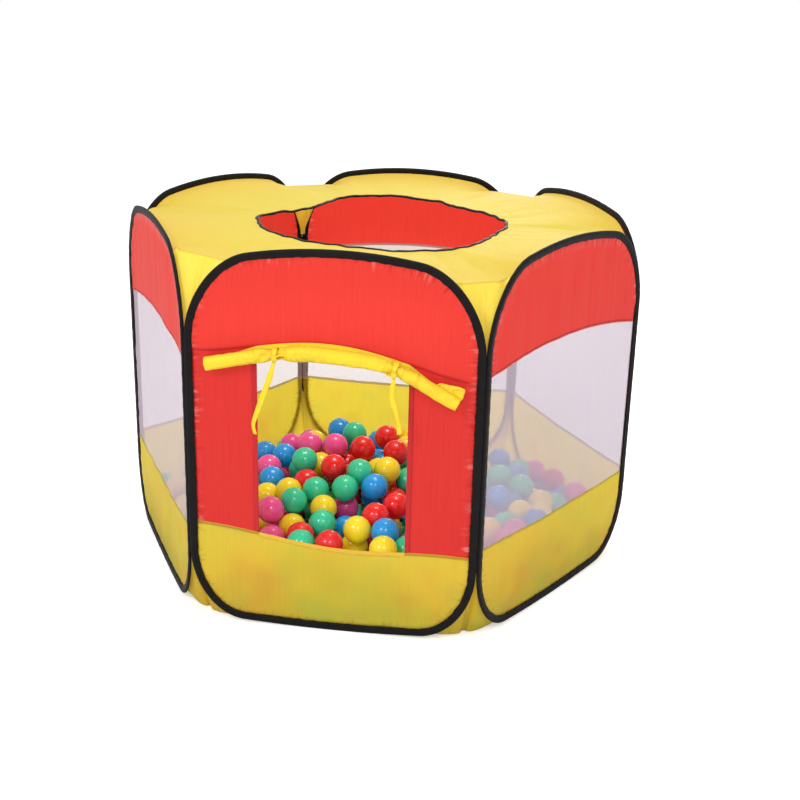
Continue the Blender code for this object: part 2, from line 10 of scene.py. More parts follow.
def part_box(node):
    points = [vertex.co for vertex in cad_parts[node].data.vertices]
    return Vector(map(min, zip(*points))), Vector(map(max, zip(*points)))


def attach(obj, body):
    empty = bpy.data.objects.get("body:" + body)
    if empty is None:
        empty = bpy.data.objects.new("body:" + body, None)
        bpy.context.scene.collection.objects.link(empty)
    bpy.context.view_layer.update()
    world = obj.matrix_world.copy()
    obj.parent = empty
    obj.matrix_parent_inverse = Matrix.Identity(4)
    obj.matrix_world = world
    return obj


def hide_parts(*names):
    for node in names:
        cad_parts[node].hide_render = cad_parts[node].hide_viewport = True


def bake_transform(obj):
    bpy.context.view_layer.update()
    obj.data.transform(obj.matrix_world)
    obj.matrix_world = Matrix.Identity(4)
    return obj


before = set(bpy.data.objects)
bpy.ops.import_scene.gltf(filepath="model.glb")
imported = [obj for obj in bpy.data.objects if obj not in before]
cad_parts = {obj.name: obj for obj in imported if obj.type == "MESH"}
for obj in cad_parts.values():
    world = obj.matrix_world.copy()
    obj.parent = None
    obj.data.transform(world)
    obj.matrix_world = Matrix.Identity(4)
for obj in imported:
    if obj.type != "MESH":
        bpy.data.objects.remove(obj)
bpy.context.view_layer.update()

# Sizes of the tent, as in the CAD
WALLS = ("front", "front_right", "back_right", "back", "back_left", "front_left")
WALL_WIDTH = 0.600
APOTHEM = WALL_WIDTH * math.sqrt(3) / 2
HOOP_HEIGHT = 0.810
HOOP_SIDE = 0.29084  # from a wall's middle to the middle of its sleeve
SEAM_REACH = 0.287  # from a wall's middle to the ends of its seams
TOP_CORNER = (0.124, 0.145)
BOTTOM_CORNER = (0.105, 0.140)
TOP_ARCH = 0.045
BOTTOM_ARCH = 0.013
SLEEVE_WIDTH = 0.016
# Seams: mean height of the ends, rise at mid wall, rise to the right end, sharpness of the middle
WINDOW_TOP = (0.573, 0.030, 0, 1)
WINDOW_SILL = (0.205, -0.006, 0, 1)
DOOR_TOP = (0.580, 0.045, -0.016, 2)
DOOR_SILL = (0.206, -0.020, -0.0165, 3)
DOORWAY_HALF = 0.152
ROOF_LEVEL = 0.775
ROOF_SHOULDER = 0.110
ROOF_START = 0.614  # the height on a hoop's sides above which the roof is sewn to it
FLOOR_END = 0.165  # the height on a hoop's sides below which the floor is sewn to it
GORE_TOPS = (0.758, 0.762, 0.758, 0.760, 0.774, 0.755)  # one for each corner, from the right
OPENING_RADIUS = 0.285
OPENING_MIDDLE = (0.026, -0.049)
OPENING_WAVES = ((2, 0.020, -170), (3, 0.016, -94), (4, 0.019, 64), (5, 0.006, 151), (6, 0.003, 20))
OPENING_DENTS = ((179, 8, 0.008), (198, 9, -0.009))  # its blunt left end: degrees, width, metres
ROLL_RADIUS = 0.017
ROLL_CORE = 0.004
ROLL_TURNS = 2.25
ROLL_DEPTH = 0.0191  # from the door wall's plane out to the roll's middle
ROLL_BACK = 0.0125  # from the roll's middle to where it is pressed flat towards the wall
ROLL_WALL = 0.0011
ROLL_ROUTE = ((-0.250, 0.575), (-0.108, 0.603), (0.0, 0.607), (0.124, 0.589), (0.250, 0.526))
ROLL_FULLNESS = ((-0.25, 0.98), (-0.16, 1.0), (-0.05, 1.12), (0.05, 1.08), (0.12, 1.0), (0.25, 0.92))
FLAP_HALF = 0.240  # half the flap's width where it goes into the roll
FLAP_DEPTHS = (-0.0018, -0.0052)  # the flap at its seam and at the roll
FLAP_CORNER = (  # along the wall and up
    (0.196, 0.556), (0.215, 0.566), (0.250, 0.561), (0.263, 0.556),
    (0.258, 0.535), (0.245, 0.530), (0.215, 0.545),
)
TIE_PLACES = {"left": -0.108, "right": 0.126}
TIE_PINCH = {"left": 0.62, "right": 0.80}
KNOT_RADIUS = 0.006
TAIL_ROUTES = {  # millimetres along the wall and down from each knot
    "left": ((0, 0), (-8, -28), (-21, -66), (-33, -100), (-43, -130), (-40, -152)),
    "right": ((0, 0), (-1, -22), (-1, -42), (6, -68), (12, -93), (15, -113)),
}
TAIL_WIDTHS = {"left": 0.0115, "right": 0.0110}
TAIL_TWISTS = {"left": (26, 5.2, 0.0, -12), "right": (34, 6.0, 0.4, 0)}  # degrees, pace, start, lean
BOW_REACHES = {"left": 0.020, "right": -0.012}  # along the wall from the knot
BALL_RADIUS = 0.030
HEAP_TOP = 0.209
HEAP_MIDDLE = -0.08
HEAP_REACH = 0.62
HEAP_FALLS = {"side": 0.16, "front": 0.14, "back": 0.30}

# Cross-sections of a sleeve, by its half, and of a tie: millimetres across and out
SLEEVE_SIDE = (
    (-8.0, 1.0), (-7.2, 1.9), (-4.5, 2.5), (-1.0, 3.3), (2.5, 4.0), (5.5, 3.6), (7.3, 2.6), (8.1, 1.4),
)
SLEEVE_SECTION = np.array([*((u, -w) for u, w in SLEEVE_SIDE), *SLEEVE_SIDE[::-1]]) / 1000
TIE_SECTION = np.array([
    (-5.2, -0.5), (-2.5, -0.65), (0, -0.5), (2.5, -0.65), (5.2, -0.5),
    (5.2, 0.3), (2.5, 0.7), (0, 0.45), (-2.5, 0.7), (-5.2, 0.3),
]) / 1000
WALL_WAYS = [np.array([math.sin(math.radians(60 * k)), -math.cos(math.radians(60 * k))]) for k in range(6)]
TENT_MIDDLE = Vector((0, 0, 0.4))

# How the cloth lies, in metres. Depths go from a wall's plane into the tent
LIP_START = 0.585  # the height above which a wall's cloth ends between its sleeve's lips
FADE = 0.03  # the height over which one way of ending passes into the next
FOOT_REACH = 0.0036  # how far past the sleeve's middle line the cloth ends, at the foot
SIDE_REACH = 0.0065  # on the uprights
LIP_REACH = -0.0065  # and between the lips, where it stays short of that line
GORE_RINGS = (0, 0.14, 0.28, 0.42, 0.56, 0.70, 0.84, 0.95)  # shares of a gore, from hoop to seam
CLOTH_DEPTH = 0.0004
LAP_DEPTH = 0.0044  # where cloth laps the inner side of a sleeve
DOOR_FACE = -0.0004  # the furthest out that the door wall's cloth lies, before its laps
BAND_DEPTH = -0.0007  # the bands lie this much further out than the netting
BAND_LAP = 0.003  # a band reaches this far past its seam
INNER_LAP = 0.004  # and the netting or the strip behind it this far
RAW_EDGE = 0.0058  # where a window sill's raw edge shows, over the seam
CLOTH_STEP = 0.0062  # between the points of the cloth's mesh
NET_STEP = 0.008
HEM_STEP = 0.003
HEM_WIDTH = 0.0100
HEM_THICKNESS = 0.0006
# Folds in a wall's free cloth: depth, swells in a metre along and up, seed
WALL_FOLDS = ((0.0026, 7, 3.2, 60), (0.0018, 26, 1.8, 80), (0.0007, 70, 2.5, 100))
# Folds in the roof: depth, lobes round the tent, shift from the hoops in to the opening, seed
ROOF_FOLDS = ((0.0020, 6, 1.6, 31), (0.0009, 14, 1.2, 37))
# Folds in the roll: depth, swells in a metre along, lobes round it, shift
ROLL_FOLDS = ((0.0016, 20, 0.9, 0), (0.0012, 46, 1.8, 5), (0.0007, 24, 5.0, 9), (0.0011, 88, 3.0, 13))
EDGE_VALUE = 0.1  # the maps "sleeve" and "seam" hold this at the stitches, less the distance from them

# Repeats in a metre, across the cloth and along it
WARP_LINES = (250, 7, 1)
SOFT_FOLDS = (42, 6, 1)
PUCKERS = (95, 24, 1)
CRUMPLES = (24, 46, 1)
NET_THREADS = (417, 417, 1)

# The photograph's camera: pixels, degrees and metres
PHOTO_SIZE = 800
FOCAL_PIXELS = 1241.35
CAMERA_TURN, CAMERA_FALL, CAMERA_ROLL = 8.2072, 19.2189, 1.457
CAMERA_DISTANCE = 2.9614
CAMERA_SHIFT = (0.05736, -0.0597)
LOOKED_AT = Vector((0, 0, 0.396))

# Soft studio light: place, point aimed at, size and watts
WHITE = (1, 1, 1, 1)
PAPER = (0.86, 0.86, 0.86, 1)
STUDIO_LEVEL = 0.95
FLOOR_LIFT = 0.42  # glow that takes the paper in the background up to white
LIGHTS = (
    ("left_softbox", (-1.5, -2.7, 2.5), (0, -0.2, 0.4), 0.7, 27),
    ("right_softbox", (0.9, -2.9, 2.5), (0, -0.2, 0.4), 0.6, 18),
    ("top_softbox", (0.1, 0.0, 3.0), (0, 0, 0.4), 1.0, 30),
    ("back_softbox", (0.2, 2.6, 1.5), (0, 0, 0.3), 1.0, 22),
)

# Balls seen in the photograph that have no CAD node: colour and pixel
SEEN_BALLS = (
    ("green", 355, 433), ("pink", 382, 431), ("blue", 399, 437), ("blue", 407, 424),
    ("pink", 292, 445), ("yellow", 315, 442), ("blue", 340, 442), ("blue", 265, 453),
    ("blue", 285, 456), ("pink", 310, 454), ("yellow", 407, 448), ("pink", 269, 467),
    ("green", 305, 466), ("yellow", 318, 465), ("blue", 272, 479), ("red", 305, 481),
    ("red", 334, 471), ("yellow", 380, 472), ("green", 345, 488), ("blue", 373, 485),
    ("yellow", 290, 491), ("yellow", 268, 495), ("green", 292, 500), ("green", 317, 496),
    ("pink", 272, 509), ("yellow", 322, 508), ("green", 320, 522), ("red", 375, 518),
    ("yellow", 359, 531), ("red", 303, 535), ("blue", 384, 533), ("green", 301, 542),
    ("red", 329, 544), ("yellow", 385, 549), ("green", 404, 549), ("red", 396, 506),
    ("pink", 490, 440), ("yellow", 513, 444), ("blue", 499, 460), ("blue", 524, 460),
    ("pink", 534, 471), ("red", 553, 480), ("green", 500, 477), ("green", 521, 487),
    ("pink", 575, 494), ("blue", 499, 498), ("yellow", 540, 503), ("green", 555, 505),
    ("yellow", 520, 514), ("yellow", 538, 514), ("green", 507, 524), ("blue", 536, 522),
    ("pink", 513, 531), ("yellow", 490, 531), ("pink", 506, 540),
)
COLOURS = ("red", "yellow", "blue", "green", "pink")
SEED = 7
CHUNK = 400  # points measured at a time, which keeps the memory small


def linear(value):
    return value / 12.92 if value <= 0.04045 else ((value + 0.055) / 1.055) ** 2.4


def colour(hexcode, share=1.0):
    """The linear colour of an sRGB hex code, darkened to a share of itself."""
    return tuple(linear(int(hexcode[i : i + 2], 16) / 255) * share for i in (1, 3, 5)) + (1.0,)


def new_object(name, data):
    obj = bpy.data.objects.new(name, data)
    bpy.context.scene.collection.objects.link(obj)
    return obj


# Camera, floor and light


def camera_axes():
    turn, fall, roll = (math.radians(a) for a in (CAMERA_TURN, CAMERA_FALL, CAMERA_ROLL))
    ahead = Vector((-math.sin(turn) * math.cos(fall), math.cos(turn) * math.cos(fall), -math.sin(fall)))
    level = Vector((math.cos(turn), math.sin(turn), 0))
    upright = level.cross(ahead)
    right = math.cos(roll) * level + math.sin(roll) * upright
    up = -math.sin(roll) * level + math.cos(roll) * upright
    place = LOOKED_AT - ahead * CAMERA_DISTANCE + right * CAMERA_SHIFT[0] + up * CAMERA_SHIFT[1]
    return place, right, up, ahead


def add_camera():
    place, right, up, ahead = camera_axes()
    data = bpy.data.cameras.new("photo_camera")
    data.sensor_width = 36
    data.lens = FOCAL_PIXELS / PHOTO_SIZE * data.sensor_width
    camera = new_object("photo_camera", data)
    camera.matrix_world = Matrix.Translation(place) @ Matrix((right, up, -ahead)).transposed().to_4x4()
    bpy.context.scene.camera = camera


def add_node(tree, kind, inputs=(), **settings):
    """Adds a shader node and gives back its first output in use. The inputs come by name, or in
    the order of those in use. Each is a value, or another node's output to link from."""
    node = tree.nodes.new("ShaderNode" + kind)
    for key, value in settings.items():
        setattr(node, key, value)
    if isinstance(inputs, dict):
        given = [(node.inputs[key], value) for key, value in inputs.items()]
    else:
        given = list(zip([socket for socket in node.inputs if socket.enabled], inputs))
    for socket, value in given:
        if isinstance(value, bpy.types.NodeSocket):
            tree.links.new(value, socket)
        else:
            socket.default_value = value
    return next((socket for socket in node.outputs if socket.enabled), None)


def new_material(name):
    """An empty material, and the helper that adds nodes to it."""
    made = bpy.data.materials.new(name)
    made.use_nodes = True
    made.node_tree.nodes.clear()
    return made, partial(add_node, made.node_tree)


def add_studio():
    scene = bpy.context.scene
    scene.view_settings.view_transform = "Standard"
    scene.world = bpy.data.worlds.new("studio")
    scene.world.use_nodes = True
    scene.world.node_tree.nodes.clear()
    add = partial(add_node, scene.world.node_tree)
    rays = add("LightPath").node.outputs
    seen = add("Math", (rays["Is Camera Ray"], rays["Is Transmission Ray"]), operation="MAXIMUM")
    seen = add("Math", (seen, rays["Is Glossy Ray"]), operation="MAXIMUM")
    level = add("MapRange", (seen, 0.0, 1.0, STUDIO_LEVEL, 1.0))
    add("OutputWorld", (add("Background", (WHITE, level)),))

    bpy.ops.mesh.primitive_plane_add(size=40)
    floor = bpy.context.object
    floor.name = "studio_floor"
    floor.location.z = -0.0005
    made, add = new_material("matt_white_paper")
    seen = add("LightPath").node.outputs["Is Camera Ray"]
    glow = add("Emission", (WHITE, add("Math", (seen, FLOOR_LIFT), operation="MULTIPLY")))
    add("OutputMaterial", (add("AddShader", (add("BsdfDiffuse", (PAPER,)), glow)),))
    floor.data.materials.append(made)

    for name, place, aim, size, watts in LIGHTS:
        data = bpy.data.lights.new(name, "AREA")
        data.shape = "DISK"
        data.size = size
        data.energy = watts
        light = new_object(name, data)
        light.location = place
        light.rotation_euler = (Vector(aim) - Vector(place)).to_track_quat("-Z", "Y").to_euler()


# Materials


def woven_cloth(name, hexcode, dark, see_through=0.35, crease=0.25, painted_show_through=(), raw="#F6C8C4",
                roughness=0.50, painted_crumple_shade=None):
    """Polyester taffeta, woven of thread too fine to see and pressed flat: a soft sheen, light
    that comes through from behind, and faint lines along the warp. The warp threads lie 0.12 mm
    apart, so the lines are drawn 4 mm apart to show. Short puckers run in from the sleeves'
    stitches, with painted glints on their ridges and painted shade between them. The cloth is
    sewn double at the sleeve and at the seams, and painted shade darkens it there. Balls behind
    it are painted in as patches of show-through, and a crumpled cloth gets painted shade in its folds."""
    made, add = new_material(name)
    place = add("UVMap", uv_map="cut")
    lines = add("TexNoise", (add("Mapping", {"Vector": place, "Scale": WARP_LINES}), 1.0, 2.0))
    folds = add("TexNoise", (add("Mapping", {"Vector": place, "Scale": SOFT_FOLDS}), 1.0, 3.0))
    blots = add("TexNoise", (place, 7.0, 2.0))

    # Puckers at the sleeve, with a painted glint on their ridges and painted shade between them
    sleeve = add("UVMap", uv_map="sleeve")
    to_sleeve = add("SeparateXYZ", (sleeve,)).node.outputs["Y"]
    reach = (EDGE_VALUE - 0.024, EDGE_VALUE - 0.003)
    near = add("MapRange", (to_sleeve, *reach), interpolation_type="SMOOTHSTEP")
    pucker = add("TexNoise", (add("Mapping", {"Vector": sleeve, "Scale": PUCKERS}), 1.0, 2.0))
    # Patches along the sleeve where the painted glints show
    glint_patches = add("Math", (add("MapRange", (blots, 0.42, 0.60)), near), operation="MULTIPLY")
    # Painted glint: the pucker ridges are mixed towards the pale colour
    rubbed = add("MapRange", (pucker, 0.54, 0.68, 0.0, 0.36))
    rubbed = add("Math", (rubbed, glint_patches), operation="MULTIPLY")
    # Painted shade in the hollows between the puckers
    sunk = add("MapRange", (pucker, 0.46, 0.32, 0.0, 0.40))
    sunk = add("Math", (sunk, near), operation="MULTIPLY")
    pucker = add("Math", (pucker, near), operation="MULTIPLY")

    # The cloth is double at the sleeve and over the last 8 mm before a seam, and painted shade darkens it
    # there; its raw edge is pale
    # Painted shade in a thin line where the cloth meets the sleeve
    lip = add("MapRange", (to_sleeve, EDGE_VALUE - 0.0028, EDGE_VALUE - 0.0012))
    to_seam = add("SeparateXYZ", (add("UVMap", uv_map="seam"),)).node.outputs["Y"]
    inner = add("MapRange", (to_seam, EDGE_VALUE - 0.0085, EDGE_VALUE - 0.0045))
    outer = add("MapRange", (to_seam, EDGE_VALUE - 0.0025, EDGE_VALUE - 0.0010))
    # Painted shade over the seams, joined with the painted shade at the sleeve
    double = add("Math", (inner, outer), operation="SUBTRACT")
    double = add("Math", (double, lip), operation="MAXIMUM")
    double = add("Math", (double, 0.6), operation="MULTIPLY")
    # The pale colour: the raw edge's own pale line, and the painted glints on the pucker ridges
    pale = add("Math", (outer, 0.55), operation="MULTIPLY")
    pale = add("Math", (pale, rubbed), operation="MAXIMUM")

    shade = add("Math", (add("MapRange", (lines, 0.3, 0.7, 0.0, 0.42)), blots), operation="MULTIPLY")
    tone = add("Mix", (shade, colour(hexcode), colour(dark)), data_type="RGBA")
    for number, tint in enumerate(painted_show_through):
        # Painted show-through: balls that lie against the cloth show through it in soft patches
        moved = add("Mapping", {"Vector": place, "Location": (3.1 * number, 1.7, 0)})
        amount = add("MapRange", (add("TexNoise", (moved, 9.0, 1.0)), 0.52, 0.72, 0.0, 0.40))
        tone = add("Mix", (amount, tone, colour(tint)), data_type="RGBA")
    # A darker copy of the dark colour for the painted shade; the raw colour marks the raw edge and the
    # painted glints
    deep = colour(dark, 0.55)
    for amount, tint in ((double, deep), (sunk, deep), (pale, colour(raw))):
        tone = add("Mix", (amount, tone, tint), data_type="RGBA")

    if painted_crumple_shade:
        # Sharp crumpled folds of a cloth that was rolled up by hand, with painted shade down in each fold
        drawn = add("Mapping", {"Vector": place, "Scale": CRUMPLES, "Rotation": (0, 0, 0.35)})
        off = add("Math", (add("TexNoise", (drawn, 1.0, 1.5)), 0.5), operation="SUBTRACT")
        off = add("Math", (off,), operation="ABSOLUTE")
        wear_and_shade_patches = add("MapRange", (blots, 0.40, 0.58))
        # Painted shade, darkest along each crease line, only in patches
        fold = add("Math", (add("MapRange", (off, 0.0, 0.075, 0.26, 0.0)), wear_and_shade_patches), operation="MULTIPLY")
        tone = add("Mix", (fold, tone, colour(painted_crumple_shade)), data_type="RGBA")
        pucker = add("Math", (fold, -0.9, pucker), operation="MULTIPLY_ADD")

    rough = add("MapRange", (folds, 0.0, 1.0, roughness - 0.1, roughness + 0.1))
    rough = add("Math", (near, -0.20, rough), operation="MULTIPLY_ADD")
    height = add("Math", (lines, 0.16, folds), operation="MULTIPLY_ADD")
    height = add("Math", (pucker, 5.0, height), operation="MULTIPLY_ADD")
    bump = add("Bump", {"Height": height, "Strength": crease, "Distance": 0.002})
    face = add("BsdfPrincipled", {
        "Base Color": tone, "Roughness": rough, "Normal": bump,
        "Specular IOR Level": 0.26, "Sheen Weight": 0.03, "Sheen Roughness": 0.5,
    })
    through = add("BsdfTranslucent", (tone, bump))
    add("OutputMaterial", (add("MixShader", (see_through, face, through)),))
    return made


def knitted_netting(name, hexcode):
    """White polyester netting, knitted with holes of about a millimetre: a pale veil. The threads
    are drawn 2.4 mm apart so that the net shows."""
    made, add = new_material(name)
    place = add("Mapping", {"Vector": add("UVMap", uv_map="cut"), "Scale": NET_THREADS})
    split = add("SeparateXYZ", (place,)).node.outputs
    threads = []
    for axis in ("X", "Y"):
        turn = add("Math", (split[axis], math.pi), operation="MULTIPLY")
        wave = add("Math", (turn,), operation="SINE")
        threads.append(add("Math", (wave,), operation="ABSOLUTE"))
    cover = add("MapRange", (add("Math", threads, operation="MULTIPLY"), 0.0, 1.0, 0.70, 0.45))
    face = add("BsdfPrincipled", {
        "Base Color": colour(hexcode), "Roughness": 0.7, "Alpha": cover, "Specular IOR Level": 0.2,
    })
    add("OutputMaterial", (face,))
    return made


def woven_tape(name, hexcode, thread, stitch_row):
    """Black polyester tape folded over the wire: dull, ribbed across every 1.2 mm, with a row of
    4 mm stitches beside its inner edge. The stitches are drawn in a paler grey as a painted glint,
    and patches of wear take the same grey."""
    made, add = new_material(name)
    place = add("UVMap", uv_map="cut")
    split = add("SeparateXYZ", (place,)).node.outputs
    ribs = add("Math", (split["X"], 2 * math.pi / 0.0024), operation="MULTIPLY")
    ribs = add("Math", (ribs,), operation="SINE")
    wear_and_shade_patches = add("TexNoise", (place, 60.0, 3.0))
    along = add("Math", (split["X"], 0.0040), operation="PINGPONG")
    dash = add("Math", (along, 0.0014), operation="GREATER_THAN")
    off = add("Math", (split["Y"], stitch_row), operation="SUBTRACT")
    off = add("Math", (off,), operation="ABSOLUTE")
    # The stitches, drawn paler than the black thread as a painted glint
    stitch_glint = add("Math", (dash, add("Math", (off, 0.0006), operation="LESS_THAN")), operation="MULTIPLY")
    tone = colour(hexcode)
    for amount in (add("MapRange", (wear_and_shade_patches, 0.0, 1.0, 0.0, 0.35)), stitch_glint):
        tone = add("Mix", (amount, tone, colour(thread)), data_type="RGBA")
    height = add("Math", (ribs, 0.15), operation="MULTIPLY")
    for raised in (stitch_glint, wear_and_shade_patches):
        height = add("Math", (height, raised), operation="ADD")
    face = add("BsdfPrincipled", {
        "Base Color": tone, "Roughness": 0.55, "Specular IOR Level": 0.11, "Sheen Weight": 0.02,
        "Normal": add("Bump", {"Height": height, "Strength": 0.3, "Distance": 0.0006}),
    })
    add("OutputMaterial", (face,))
    return made


def blown_plastic(name, hexcode):
    """Blow-moulded polyethylene: smooth and waxy, with a clear highlight, a little light inside
    the wall and small rubbed places."""
    made, add = new_material(name)
    place = add("TexCoord").node.outputs["Object"]
    cloudy = add("TexNoise", (place, 25.0, 1.0))
    face = add("BsdfPrincipled", {
        "Base Color": add("Mix", (cloudy, colour(hexcode), colour(hexcode, 0.86)), data_type="RGBA"),
        "Roughness": add("MapRange", (add("TexNoise", (place, 90.0, 3.0)), 0.35, 0.75, 0.13, 0.26)),
        "IOR": 1.51, "Subsurface Weight": 0.10, "Subsurface Scale": 0.004,
    })
    add("OutputMaterial", (face,))
    return made


def drawn_steel(name, hexcode, roughness):
    """Drawn spring steel: a dull grey metal with fine lines along it."""
    made, add = new_material(name)
    grain = add("TexNoise", (add("TexCoord").node.outputs["Object"], 900.0, 2.0))
    rough = add("MapRange", (grain, 0.0, 1.0, roughness - 0.08, roughness + 0.08))
    face = add("BsdfPrincipled", {"Base Color": colour(hexcode), "Roughness": rough, "Metallic": 1.0})
    add("OutputMaterial", (face,))
    return made


# Outline of a sprung wall, as (along, height) from the middle of its foot


def smooth_step(value):
    value = np.clip(value, 0, 1)
    return value * value * (3 - 2 * value)


def run_along(points):
    """How far along a line each of its points is."""
    return np.concatenate([[0], np.cumsum(np.linalg.norm(np.diff(points, axis=0), axis=1))])


def even_line(points, step, closed=False):
    """A line read again at even steps. An open one keeps both its ends."""
    if closed:
        points = np.vstack([points, points[:1]])
    run = run_along(points)
    places = np.linspace(0, run[-1], max(2, round(run[-1] / step) + 1))
    even = np.stack([np.interp(places, run, column) for column in points.T], axis=1)
    return even[:-1] if closed else even


def hoop_outline(step=0.004):
    """The middle line of a sleeve, anticlockwise from the middle of its foot, evenly spaced."""
    low = SLEEVE_WIDTH / 2 + BOTTOM_ARCH
    high = HOOP_HEIGHT - SLEEVE_WIDTH / 2 - TOP_ARCH
    foot = low + BOTTOM_CORNER[1]
    shoulder = high - TOP_CORNER[1]

    def corner(first, size, level):
        turns = np.radians(np.linspace(first, first + 90, 30))
        return [(HOOP_SIDE - size[0] * (1 - math.cos(a)), level + size[1] * math.sin(a)) for a in turns]

    right = [(x, low) for x in np.linspace(0, HOOP_SIDE - BOTTOM_CORNER[0], 20)[:-1]]
    right += corner(-90, BOTTOM_CORNER, foot)
    right += [(HOOP_SIDE, z) for z in np.linspace(foot, shoulder, 20)[1:-1]]
    right += corner(0, TOP_CORNER, shoulder)
    right += [(x, high) for x in np.linspace(HOOP_SIDE - TOP_CORNER[0], 0, 20)[1:]]
    middle = (low + high) / 2
    arched = []
    for x, z in right:
        arch = TOP_ARCH if z > middle else BOTTOM_ARCH
        arched.append((x, z + arch * (z - middle) / (high - middle) * (1 - (x / HOOP_SIDE) ** 2)))
    return even_line(np.array(arched + [(-x, z) for x, z in arched[-2:0:-1]]), step, closed=True)


def unit_steps(points, closed=False):
    """The way that a line goes at each of its points."""
    ahead = np.gradient(points, axis=0)
    if closed:
        ahead = np.roll(points, -1, axis=0) - np.roll(points, 1, axis=0)
    return ahead / np.linalg.norm(ahead, axis=1)[:, None]


def outward(points):
    """Normals that point out of a closed anticlockwise line."""
    ahead = unit_steps(points, closed=True)
    return np.stack([ahead[:, 1], -ahead[:, 0]], axis=1)


HOOP = hoop_outline()


def from_hoop(points):
    """For each point in the wall, how far inside the sleeve's middle it is, and where along it."""
    steps = np.roll(HOOP, -1, axis=0) - HOOP
    squares = (steps**2).sum(1)
    run = run_along(HOOP)
    inside = np.empty(len(points))
    along = np.empty(len(points))
    for first in range(0, len(points), CHUNK):
        chunk = slice(first, first + CHUNK)
        off = points[chunk, None] - HOOP[None]
        share = np.clip((off * steps[None]).sum(2) / squares[None], 0, 1)
        gap = np.linalg.norm(off - share[..., None] * steps[None], axis=2)
        nearest = gap.argmin(1)
        rows = np.arange(len(gap))
        inside[chunk] = gap[rows, nearest]
        along[chunk] = run[nearest] + share[rows, nearest] * np.sqrt(squares[nearest])
    return inside, along


def seam_at(seam, x, lift=0.0):
    ends, rise, tilt, sharpness = seam
    share = np.clip(x / SEAM_REACH, -1, 1)
    return ends + rise * (1 - share**2) ** sharpness + tilt * share + lift


def first_run(points, wanted):
    """The points of a closed line from where wanted turns true up to where it turns false."""
    first = next(i for i in range(len(points)) if wanted[i] and not wanted[i - 1])
    length = np.roll(wanted, -first).argmin()
    return np.roll(points, -first, axis=0)[:length]


def cut_by_seam(outline, seam, lift, keep_above, step=0.006):
    """The part of an outline above or below a seam, with the seam as its new edge."""
    over = outline[:, 1] - seam_at(seam, outline[:, 0], lift)
    kept = first_run(outline, over > 0 if keep_above else over < 0)
    start, end = kept[-1, 0], kept[0, 0]
    xs = np.linspace(start, end, max(3, round(abs(end - start) / step)))
    return np.vstack([kept, np.stack([xs, seam_at(seam, xs, lift)], axis=1)])


def cut_by_upright(outline, x0, step=0.006):
    """The part of an outline to the right of an upright line at x0."""
    kept = first_run(outline, outline[:, 0] > x0)
    start, end = kept[-1, 1], kept[0, 1]
    zs = np.linspace(start, end, max(3, round(abs(end - start) / step)))
    return np.vstack([kept, np.stack([np.full(len(zs), x0), zs], axis=1)])


def mirrored(outline):
    return (outline * (-1, 1))[::-1]


# Cloth


def noise_at(x, y, z):
    """Smooth noise between -1 and 1 at each place."""
    x, y, z = np.broadcast_arrays(x, y, z)
    return np.array([noise.noise(place) for place in zip(x.flat, y.flat, z.flat)]).reshape(x.shape)


def ripple(x, y, seed):
    return noise_at(x, y, seed * 7.3)


def ring_ripple(angle, lobes, seed, shift=0.0):
    """Noise read round a circle, so that it meets itself."""
    return ripple(np.cos(angle) * lobes, np.sin(angle) * lobes + shift, seed)


def inside_outline(points, outline):
    x, y = points[:, 0], points[:, 1]
    found = np.zeros(len(points), bool)
    for (x0, y0), (x1, y1) in zip(outline, np.roll(outline, -1, axis=0)):
        crosses = (y0 > y) != (y1 > y)
        with np.errstate(divide="ignore", invalid="ignore"):
            at = (x1 - x0) * (y - y0) / (y1 - y0) + x0
        found ^= crosses & (x < at)
    return found


def cut_cloth(outline, step):
    """Cloth cut to an outline: its points and triangles, with points about a step apart."""
    outline = even_line(outline, step, closed=True)
    low, high = outline.min(0), outline.max(0)
    rows = np.arange(low[1] + step / 2, high[1], step * math.sqrt(3) / 2)
    grid = np.array([
        (x, y) for i, y in enumerate(rows) for x in np.arange(low[0] + (i % 2) * step / 2, high[0], step)
    ])
    grid = grid[inside_outline(grid, outline)]
    gap = np.concatenate([
        np.linalg.norm(grid[first : first + CHUNK, None] - outline[None], axis=2).min(1)
        for first in range(0, len(grid), CHUNK)
    ])
    points = np.vstack([outline, grid[gap > 0.62 * step]])
    count = len(outline)
    edges = [(i, (i + 1) % count) for i in range(count)]
    flat, _, faces, _, _, _ = geometry.delaunay_2d_cdt([Vector(p) for p in points], edges, [], 1, 1e-7)
    return np.array(flat), [tuple(f) for f in faces]


def grid_faces(rows, count, closed=True):
    """The faces between rows of points. In closed rows the last point joins the first."""
    return [
        (r * count + i, r * count + (i + 1) % count, (r + 1) * count + (i + 1) % count, (r + 1) * count + i)
        for r in range(rows - 1) for i in range(count if closed else count - 1)
    ]


def new_piece(name, points, faces, made, **maps):
    """A smooth object of these points and faces. A UV map has a place per point or per corner."""
    mesh = bpy.data.meshes.new(name)
    mesh.from_pydata(np.asarray(points).tolist(), [], faces)
    corners = np.empty(len(mesh.loops), np.int32)
    mesh.loops.foreach_get("vertex_index", corners)
    for key, places in maps.items():
        places = np.asarray(places, float)
        if len(places) != len(corners):
            places = places[corners]
        mesh.uv_layers.new(name=key).data.foreach_set("uv", places.ravel())
    mesh.shade_smooth()
    mesh.materials.append(made)
    return new_object(name, mesh)


def thicken(obj, thickness):
    bpy.ops.object.select_all(action="DESELECT")
    obj.select_set(True)
    bpy.context.view_layer.objects.active = obj
    solid = obj.modifiers.new("thickness", "SOLIDIFY")
    solid.thickness = thickness
    solid.offset = 0.0
    bpy.ops.object.modifier_apply(modifier=solid.name)


def face_out(obj):
    """Turn a single sheet's faces away from the tent's middle."""
    face = obj.data.polygons[len(obj.data.polygons) // 2]
    if (face.center - TENT_MIDDLE).dot(face.normal) < 0:
        obj.data.flip_normals()


